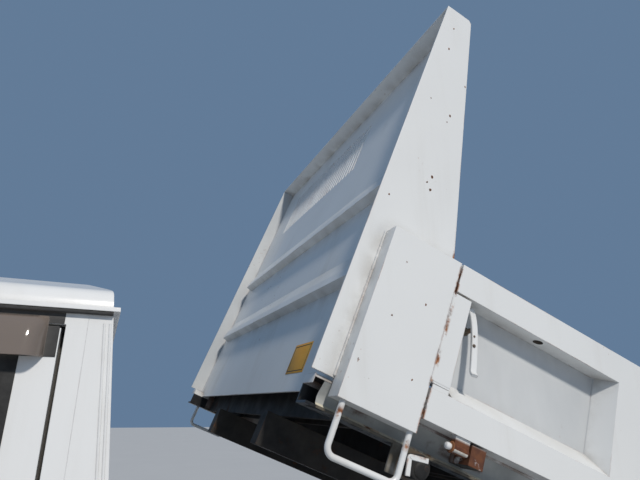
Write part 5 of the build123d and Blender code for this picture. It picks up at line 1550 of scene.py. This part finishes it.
DOOR_HINGE_Z = (0.775, 1.175)
DOOR_HINGE_X = (DOOR_FRONT + 0.018, DOOR_FRONT + 0.034)
SCREW_R = 0.004


@both
def cab_bolts(bm, side):
    """Screws of the doors' hinges."""
    for z in DOOR_HINGE_Z:
        for x in DOOR_HINGE_X:
            bolt(bm, (x, side * (CAB_HALF + 0.0002), z), (0, side, 0), SCREW_R)


DRIP_Z = (1.8925, 1.8998)
DRIP_IN = 0.0075
DRIP_REAR = 0.012
DRIP_FRONT = 0.060
DRIP_W = 0.012


@both
def drip_rubber(bm, side):
    """Black strip along the underside of the roof's drip rail."""
    low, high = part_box("cab_roof")
    z = sum(DRIP_Z) / 2
    y = side * (high.y - DRIP_IN)
    path = ((low.x + DRIP_REAR, y, z), (high.x - DRIP_FRONT, y, z))
    sweep(bm, path, flat_bar(DRIP_W, DRIP_Z[1] - DRIP_Z[0]))


# Beads down the cab's rear corner: foot and top z, upright at TRIM_X below the height where it leans
TRIM_Z = (0.640, 1.878)
TRIM_X = 1.030
TRIM_LEAN_AT = (1.042, 1.610)
TRIM_LEAN = 0.083
TRIM_SHIFTS = (0.0, -0.010)
TRIM_STEPS = 24
TRIM_R = 0.0028


def corner_trim(bm, side):
    """Pressed beads down the cab's rear corner."""
    low, high = TRIM_Z
    lean_x, lean_z = TRIM_LEAN_AT
    for shift in TRIM_SHIFTS:
        path = []
        for i in range(TRIM_STEPS + 1):
            z = low + (high - low) * i / TRIM_STEPS
            x = max(TRIM_X, lean_x + (z - lean_z) * TRIM_LEAN) + shift
            hit, normal = surface("cab_back_panel", (x, side * OUTSIDE, z), (0, -side, 0))
            if hit is not None:
                path.append(hit - normal * 0.0006)
        if len(path) > 2:
            sweep(bm, path, circle(TRIM_R, 8), up=(1, 0, 0))


# Inside the cab

SEAT_Y = (0.480, -0.480)
POST_STEPS = (-0.055, 0.055)
POST_ENDS = ((1.200, 1.500), (1.204, 1.550))
ROD_R = 0.006


def blocks_across(bm, middles, half, xs, zs, bevel):
    """Blocks of one width about middles in y, between low and high x and z."""
    (x0, x1), (z0, z1) = xs, zs
    for y in middles:
        block(bm, (x0, y - half, z0), (x1, y + half, z1), bevel)


def headrest_posts(bm):
    """Rods between the seats and their headrests."""
    for y in SEAT_Y:
        for step in POST_STEPS:
            sweep(bm, [(x, y + step, z) for x, z in POST_ENDS], circle(ROD_R))


# Gear lever's middle line (x, z) at its y, and its knob; the pedals; the gauges' hood (x, z), and its ends
GEAR_Y = -0.120
GEAR_LEVER = ((1.960, 1.050), (1.900, 1.130), (1.880, 1.200))
GEAR_KNOB = ((0.0, 0.010), (0.006, 0.019), (0.020, 0.023), (0.034, 0.019), (0.042, 0.008))
GEAR_KNOB_AT = (1.880, GEAR_Y, 1.192)
PEDALS_Y = (-0.270, -0.390, -0.510)
PEDAL_HALF = 0.035
PEDAL_X = (2.120, 2.130)
PEDAL_Z = (0.735, 0.795)
PEDAL_ARM = ((2.132, 0.770), (2.180, 0.960))
HOOD = ((2.050, 1.180), (2.020, 1.300), (2.060, 1.322), (2.150, 1.290), (2.160, 1.240))
HOOD_Y = (-0.560, -0.230)


def controls(bm):
    """Gear lever, pedals, and the hood over the gauges."""
    lever = rounded_path([(x, GEAR_Y, z) for x, z in GEAR_LEVER], 0.04)
    sweep(bm, lever, circle(0.008), up=LEFT)
    lathe(bm, GEAR_KNOB, GEAR_KNOB_AT, (-0.1, 0, 1), 18)
    blocks_across(bm, PEDALS_Y, PEDAL_HALF, PEDAL_X, PEDAL_Z, 0.002)
    for y in PEDALS_Y:
        sweep(bm, [(x, y, z) for x, z in PEDAL_ARM], circle(ROD_R), up=LEFT)
    prism(bm, HOOD, *HOOD_Y, 0.006)


# Steering wheel's middle, its column's direction, and the sections of pad and shroud along it
WHEEL_AT = Vector((1.900, -0.400, 1.230))
COLUMN = Vector((-0.42, 0, 0.91)).normalized()
PAD = ((-0.004, 0.060), (0.008, 0.058), (0.018, 0.046), (0.022, 0.020))
SHROUD = ((-0.150, 0.034), (-0.050, 0.048), (-0.040, 0.040))


def steering_pad(bm):
    """Boss and horn pad over the steering wheel's middle, with the column's shroud."""
    lathe(bm, PAD, WHEEL_AT, COLUMN, 28)
    lathe(bm, SHROUD, WHEEL_AT, COLUMN, 20)


# Headrests, and sun flaps folded under the roof's front edge, for blocks_across
HEADRESTS = (SEAT_Y, 0.125, (1.165, 1.245), (1.535, 1.690), 0.026)
SUN_FLAPS = ((0.400, -0.400), 0.230, (1.850, 2.010), (1.885, 1.897), 0.004)


def dress_cab():
    for name, side in SIDES:
        door = "door_body_" + name
        piece("door_seal_" + name, door_seals, "cab", "plastic", "rubber", side)
        piece("window_rubber_" + name, window_rubber, door, "rubber", "rubber", side)
        piece("door_visor_" + name, visor, door, "smoke", "glass", side, crease=50)
        piece("door_tape_" + name, tape, door, "plastic", "black_plastic", side, DOOR_TAPE)
        piece("door_handle_" + name, door_handle, door, "plastic", "black_plastic", side)
        piece("header_tape_" + name, tape, "cab", "plastic", "black_plastic", side, HEADER_TAPE)
        piece("belt_strip_" + name, belt_strip, door, "rubber", "rubber", side)
        piece("corner_trim_" + name, corner_trim, "cab", "cab", "body_paint", side)
    for name, draw, material, slot, *args in (
        ("drip_rubber", drip_rubber, "plastic", "rubber"),
        ("screen_rubbers", screen_rubbers, "rubber", "rubber"),
        ("grille_field", grille_back, "plastic", "black_plastic"),
        ("grille_slats", grille_slats, "trim", "black_plastic"),
        ("indicators", indicators, "amber", "lamp"),
        ("lamp_bowls", lamp_bowls, "silver", "lamp"),
        ("mirror_glass", mirror_glass, "silver", "glass"),
        ("wipers", wipers, "plastic", "black_plastic"),
        ("cab_screws", cab_bolts, "zinc", "steel"),
        ("headrests", blocks_across, "cloth", "seat_cloth", *HEADRESTS),
        ("headrest_posts", headrest_posts, "chrome", "steel"),
        ("controls", controls, "plastic", "black_plastic"),
        ("steering_pad", steering_pad, "plastic", "black_plastic"),
        ("sun_flaps", blocks_across, "trim", "black_plastic", *SUN_FLAPS),
    ):
        piece(name, draw, "cab", material, slot, *args)


dress_cab()


# Wheel pieces

# Half a tyre's section from the tread's edge to the bead: (distance from its middle, radius)
SIDEWALL = (
    (0.0800, 0.3375),
    (0.0842, 0.3320),
    (0.0862, 0.3250),
    (0.0858, 0.3225),
    (0.0905, 0.3080),
    (0.0958, 0.2900),
    (0.0990, 0.2740),
    (0.1002, 0.2720),
    (0.1016, 0.2650),
    (0.1002, 0.2580),
    (0.0930, 0.2430),
    (0.0905, 0.2420),
    (0.0850, 0.2290),
    (0.0767, 0.2170),
    (0.0720, 0.2060),
)
TYRE_HALF = 0.1011
TREAD_HALF = 0.076
TREAD_R = 0.3395
TREAD_CROWN = 0.0055
SHOULDER = 0.062
GROOVES = (-0.040, 0.0, 0.040)
GROOVE_HALF = 0.0042
# Groove's section: (share of its half width, share of its depth)
GROOVE = ((-1, 0), (-0.6, 1), (0.6, 1), (1, 0))
GROOVE_DEPTH = 0.011
ZIGZAG = 0.0045
ZIGZAG_STEPS = 8
TREAD_STEPS = 180
NOTCH_EVERY = 5
NOTCH = 0.006


def crown(offset):
    """Tread radius at a distance from the tyre's middle."""
    return TREAD_R + TREAD_CROWN * (1 - (offset / TREAD_HALF) ** 2)


def tread_columns(step):
    """(offset, radius) across the tread at one step round the tyre."""
    swing = ZIGZAG * (1 - abs(step % ZIGZAG_STEPS - ZIGZAG_STEPS / 2) / 2)
    notch = NOTCH if step % NOTCH_EVERY == 0 else 0.0
    edge = [(TREAD_HALF, TREAD_R - notch), (SHOULDER, crown(SHOULDER) - notch)]
    columns = [(-offset, radius) for offset, radius in edge]
    for groove in GROOVES:
        for across, depth in GROOVE:
            offset = groove + swing + across * GROOVE_HALF
            columns.append((offset, crown(offset) - depth * GROOVE_DEPTH))
    return columns + edge[::-1]


def treaded_tyre(bm, axle, middle):
    """A tyre with zigzag grooves and notched shoulders, about an axle, with its middle at y."""
    far_wall = [(-offset, radius) for offset, radius in reversed(SIDEWALL)]
    rings = []
    for step, (x, z) in enumerate(circle(1.0, TREAD_STEPS)):
        section = far_wall + tread_columns(step) + list(SIDEWALL)
        ring = [(axle.x + radius * x, middle + offset, axle.z + radius * z) for offset, radius in section]
        rings.append([bm.verts.new(point) for point in ring])
    join_rings(bm, rings, closed=True)


def tyres(bm, node, axle):
    """Treaded tyres in the place of a node's one or two."""
    low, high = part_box(node)
    middles = [low.y + TYRE_HALF, high.y - TYRE_HALF]
    if middles[1] - middles[0] < TYRE_HALF:
        middles = [(low.y + high.y) / 2]
    for middle in middles:
        treaded_tyre(bm, axle, middle)


# Nuts, stud ends, cap and valve of a wheel; sections are (distance out, radius)
NUTS = 6
NUT_CIRCLE = 0.090
NUT_R = 0.0155
STUD = ((0, 0.0085), (0.020, 0.0085), (0.022, 0.0070))
CAP = ((-0.002, 0.050), (0.004, 0.050), (0.008, 0.046), (0.014, 0.030), (0.016, 0.010))
CAP_SCREWS = 6
CAP_SCREW_CIRCLE = 0.042
CAP_SCREW_OUT = 0.0045
CAP_SCREW_R = 0.0045
VALVE_CIRCLE = 0.165
VALVE_TURN = radians(20)
VALVE_R = 0.004
VALVE_DEPTH = 0.004
VALVE_LEAN = (-0.012, 0.040, -0.004)


def disc_face(node, axle, side, radius, turn):
    """Outermost point of a wheel at a radius and turn about its axle."""
    start = (axle.x + radius * cos(turn), side * OUTSIDE, axle.z + radius * sin(turn))
    hit, _ = surface(node, start, (0, -side, 0))
    return hit


def wheel_nuts(bm, node, axle, side):
    """Nuts and stud ends round a wheel's hub."""
    for i in range(NUTS):
        turn = 2 * pi * (i + 0.5) / NUTS
        hit = disc_face(node, axle, side, NUT_CIRCLE, turn)
        if hit is not None:
            bolt(bm, hit, (0, side, 0), NUT_R)
            lathe(bm, STUD, hit, (0, side, 0), 14)


def hub_cap(bm, node, axle, side):
    """Cap over the hub's end with its flange screws."""
    hit = disc_face(node, axle, side, 0.0, 0.0) or disc_face(node, axle, side, 0.03, 0.0)
    face = Vector((axle.x, hit.y, axle.z))
    lathe(bm, CAP, face, (0, side, 0), 32)
    for x, z in circle(CAP_SCREW_CIRCLE, CAP_SCREWS):
        bolt(bm, face + Vector((x, side * CAP_SCREW_OUT, z)), (0, side, 0), CAP_SCREW_R)


def valve(bm, node, axle, side):
    """Valve stem on the disc."""
    hit = disc_face(node, axle, side, VALVE_CIRCLE, VALVE_TURN)
    if hit is not None:
        x, y, z = VALVE_LEAN
        root, tip = hit - Vector((0, side * VALVE_DEPTH, 0)), hit + Vector((x, side * y, z))
        sweep(bm, (root, hit.lerp(tip, 0.5), tip), circle(VALVE_R, 10), up=(1, 0, 0))


# Columns: which end, start of the tyres' node, start of the rims' node, start of the body, axle
WHEELS = (
    ("front_", "front_tyre_", "front_rim_", "wheel_front_", FRONT_AXLE),
    ("rear_", "rear_tyres_", "rear_rims_", "wheels_rear_", REAR_AXLE),
)


def dress_wheels():
    for name, side in SIDES:
        for end, tyre_start, rim_start, body_start, axle in WHEELS:
            tyre, body = tyre_start + name, body_start + name
            place = (rim_start + name, axle, side)
            treads = piece("treads_" + end + name, tyres, body, "tyre", "tyre", tyre, axle, crease=28)
            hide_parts(tyre)
            piece("nuts_" + end + name, wheel_nuts, body, "zinc", "steel", *place)
            piece("hub_cap_" + end + name, hub_cap, body, "steel", "steel", *place)
            piece("valve_" + end + name, valve, body, "rubber", "rubber", *place)


# Chassis pieces

RAIL_LOW, RAIL_OUT, RAIL_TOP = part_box("chassis_rails")[0].z, *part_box("chassis_rails")[1].yz
SPRING_Y = RAIL_OUT - 0.030

# U-bolts: half the distance between a spring's two, half their width, and the plate below
U_BOLT_X = 0.055
U_BOLT_Y = 0.037
U_BOLT_R = 0.006
U_BOLT_PAST = 0.020
U_BOLT_NUT_R = 0.010
PLATE_HALF_X = 0.075
PLATE_HALF_Y = 0.046
PLATE_T = 0.010


@both
def spring_bolts(bm, side):
    """Square U-bolts over both springs of each axle, with nuts under their plates."""
    for axle, node in ((FRONT_AXLE, "front_axle"), (REAR_AXLE, "rear_axle")):
        y = side * SPRING_Y
        spring, _ = surface("leaf_springs", (axle.x, y, RAIL_LOW - 0.001), (0, 0, -1))
        beam, _ = surface(node, (axle.x, y, 0.05), UP)
        over, plate = spring.z + 0.004, beam.z - PLATE_T
        low = (axle.x - PLATE_HALF_X, y - PLATE_HALF_Y, plate)
        high = (axle.x + PLATE_HALF_X, y + PLATE_HALF_Y, plate + PLATE_T)
        block(bm, low, high, 0.002)
        near, far, foot = y - U_BOLT_Y, y + U_BOLT_Y, plate - U_BOLT_PAST
        for x in (axle.x - U_BOLT_X, axle.x + U_BOLT_X):
            path = ((x, near, foot), (x, near, over), (x, far, over), (x, far, foot))
            sweep(bm, rounded_path(path, 0.010), circle(U_BOLT_R, 10), up=(1, 0, 0))
            for nut_y in (near, far):
                bolt(bm, (x, nut_y, plate), (0, 0, -1), U_BOLT_NUT_R)


# Bolts on the rails' webs: x of each cross member, and steps from there and from the rail's edges
CROSS_X = (2.180, 0.790, 0.060, -0.640, -1.740)
CROSS_STEP = 0.030
CROSS_EDGE = 0.040
CROSS_BOLT_R = 0.0085


@both
def rail_bolts(bm, side):
    """Bolts of the cross members on the rails' webs."""
    for x in CROSS_X:
        for step in (-CROSS_STEP, CROSS_STEP):
            for z in (RAIL_LOW + CROSS_EDGE, RAIL_TOP - CROSS_EDGE):
                bolt(bm, (x + step, side * RAIL_OUT, z), (0, side, 0), CROSS_BOLT_R)


# Mud flaps behind the rear mudguards, in steps from the guards' box, and the strips that hold them
FLAP_IN = 0.420
FLAP_OUT = 0.003
FLAP_FOOT = 0.150
FLAP_RISE = 0.025
FLAP_FACES = (-0.002, 0.004)
STRIP_FACES = (-0.005, -0.002)
STRIP_RISES = (-0.010, 0.020)
STRIP_BOLTS = 4
STRIP_BOLT_RISE = 0.005
STRIP_BOLT_R = 0.006


@both
def mud_flaps(bm, side):
    """Rubber flaps hung behind the rear mudguards."""
    low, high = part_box("rear_mudguards")
    back, front = FLAP_FACES
    y0, y1 = sorted((side * FLAP_IN, side * (high.y - FLAP_OUT)))
    block(bm, (low.x + back, y0, FLAP_FOOT), (low.x + front, y1, low.z + FLAP_RISE), 0.002)


@both
def flap_strips(bm, side):
    """Steel strips along the flaps' tops."""
    low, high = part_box("rear_mudguards")
    back, front = (low.x + step for step in STRIP_FACES)
    foot, top = (low.z + step for step in STRIP_RISES)
    y0, y1 = sorted((side * FLAP_IN, side * (high.y - FLAP_OUT)))
    block(bm, (back, y0, foot), (front, y1, top), 0.001)
    for i in range(STRIP_BOLTS):
        y = y0 + (i + 0.5) * (y1 - y0) / STRIP_BOLTS
        bolt(bm, (back, y, low.z + STRIP_BOLT_RISE), (-1, 0, 0), STRIP_BOLT_R)


STRAPS_X = (-0.020, 0.280)
STRAP_SECTION = (0.030, 0.003)
STRAP_OFF = 0.001
# The filler cap's section, its middle (x, y), how deep it starts, and the grip across it
TANK_CAP = (
    (-0.003, 0.036),
    (0.006, 0.036),
    (0.007, 0.032),
    (0.016, 0.032),
    (0.018, 0.040),
    (0.036, 0.040),
    (0.040, 0.036),
)
TANK_CAP_AT = (0.350, -0.600)
TANK_CAP_SUNK = 0.012
CAP_GRIP_HALF = (0.032, 0.007)
CAP_GRIP_RISES = (0.026, 0.034)


def tank_straps(bm):
    """Steel straps round the fuel tank."""
    low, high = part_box("fuel_tank")
    inner, outer = -RAIL_OUT - 0.030, low.y - STRAP_OFF
    foot, top = low.z - STRAP_OFF, high.z + STRAP_OFF
    for x in STRAPS_X:
        path = ((x, inner, top), (x, outer, top), (x, outer, foot), (x, inner, foot))
        sweep(bm, rounded_path(path, 0.006), flat_bar(*STRAP_SECTION), up=(0, 1, 0.001))


def tank_cap(bm):
    """Filler cap on the tank's top."""
    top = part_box("fuel_tank")[1].z
    x, y = TANK_CAP_AT
    lathe(bm, TANK_CAP, (x, y, top - TANK_CAP_SUNK), UP, 32)
    (half_x, half_y), (z0, z1) = CAP_GRIP_HALF, CAP_GRIP_RISES
    block(bm, (x - half_x, y - half_y, top + z0), (x + half_x, y + half_y, top + z1), 0.003)


# Battery lid: how far it laps over the box, how deep its lip is, and the ribs along its top
LID_LAP = 0.003
LID_LIP = 0.028
LID_RIBS = 5
RIB_FIRST = 0.035
RIB_STEP = 0.045
RIB_W = 0.012
RIB_IN = 0.030
# The latches' middles from the box's ends; half width, reach, foot and top of loop and handle
LATCH_IN = 0.060
LATCH_PARTS = ((0.012, 0.006, 0.075, 0.010), (0.016, 0.009, 0.095, 0.075))


def battery_lid(bm):
    """Lid with a lip and ribs over the battery box."""
    low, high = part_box("battery_box")
    inner = RAIL_OUT + 0.032
    top = (high.x + LID_LAP, high.y + LID_LAP, high.z + LID_LAP)
    block(bm, (low.x - LID_LAP, inner, high.z - LID_LIP), top, 0.003)
    for i in range(LID_RIBS):
        y = inner + RIB_FIRST + i * RIB_STEP
        block(bm, (low.x + RIB_IN, y, high.z + 0.002), (high.x - RIB_IN, y + RIB_W, high.z + 0.006), 0.002)


def battery_latches(bm):
    """The two latches of the battery lid."""
    low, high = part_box("battery_box")
    for x in (low.x + LATCH_IN, high.x - LATCH_IN):
        for half, reach, foot, top in LATCH_PARTS:
            start = (x - half, high.y - 0.001, high.z - foot)
            block(bm, start, (x + half, high.y + reach, high.z - top), 0.002)


# Bands on the muffler: its middle over its box's foot, the bands' section, and their steps from its end
MUFFLER_RISE = 0.085
BAND = ((0.0, 0.0845), (0.001, 0.0872), (0.008, 0.0872), (0.009, 0.0845))
BAND_STEPS = (0.001, 0.120, 0.340, 0.470)


def muffler_bands(bm):
    """Rolled seams and clamp bands on the muffler."""
    low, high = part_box("exhaust")
    middle = Vector((low.x, (low.y + high.y) / 2, low.z + MUFFLER_RISE))
    for step in BAND_STEPS:
        lathe(bm, BAND, middle + Vector((step, 0, 0)), (1, 0, 0), 40)


COVER_BOLTS = 10
COVER_CIRCLE = 0.103
COVER_BOLT_R = 0.007


def axle_bolts(bm):
    """Bolts round the rear axle's cover."""
    for y, z in circle(COVER_CIRCLE, COVER_BOLTS):
        hit, _ = surface("rear_axle", (REAR_AXLE.x - 1, y, REAR_AXLE.z + z), (1, 0, 0))
        if hit is not None and hit.x < REAR_AXLE.x:
            bolt(bm, hit, (-1, 0, 0), COVER_BOLT_R)


# Tail lamp thirds. Columns: name, inner and outer share of the lamp's width, material
LAMP_THIRDS = (("clear", 0.03, 0.25, "lens"), ("red", 0.27, 0.68, "red"), ("amber", 0.70, 0.97, "amber"))
TAIL_LAMP_W = 0.260
TAIL_LENS_EDGE = 0.005
TAIL_LENS_X = (-0.007, 0.001)


@both
def tail_lens(bm, side, inner, outer):
    """One third of both tail lamps' lenses."""
    low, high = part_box("tail_lamps")
    back, front = (low.x + step for step in TAIL_LENS_X)
    y0, y1 = sorted(side * (high.y - TAIL_LAMP_W * (1 - share)) for share in (inner, outer))
    block(bm, (back, y0, low.z + TAIL_LENS_EDGE), (front, y1, high.z - TAIL_LENS_EDGE), 0.0025)


def dress_chassis():
    for name, draw, material, slot in (
        ("spring_bolts", spring_bolts, "zinc", "steel"),
        ("rail_bolts", rail_bolts, "black", "frame_paint"),
        ("mud_flaps", mud_flaps, "rubber", "rubber"),
        ("flap_strips", flap_strips, "zinc", "steel"),
        ("tank_straps", tank_straps, "steel", "steel"),
        ("tank_cap", tank_cap, "steel", "steel"),
        ("battery_lid", battery_lid, "plastic", "black_plastic"),
        ("battery_latches", battery_latches, "zinc", "steel"),
        ("muffler_bands", muffler_bands, "steel", "steel"),
        ("axle_bolts", axle_bolts, "zinc", "steel"),
    ):
        piece(name, draw, "root", material, slot)
    for name, inner, outer, material in LAMP_THIRDS:
        piece("tail_lens_" + name, tail_lens, "root", material, "lamp", inner, outer)


dress_wheels()
dress_chassis()
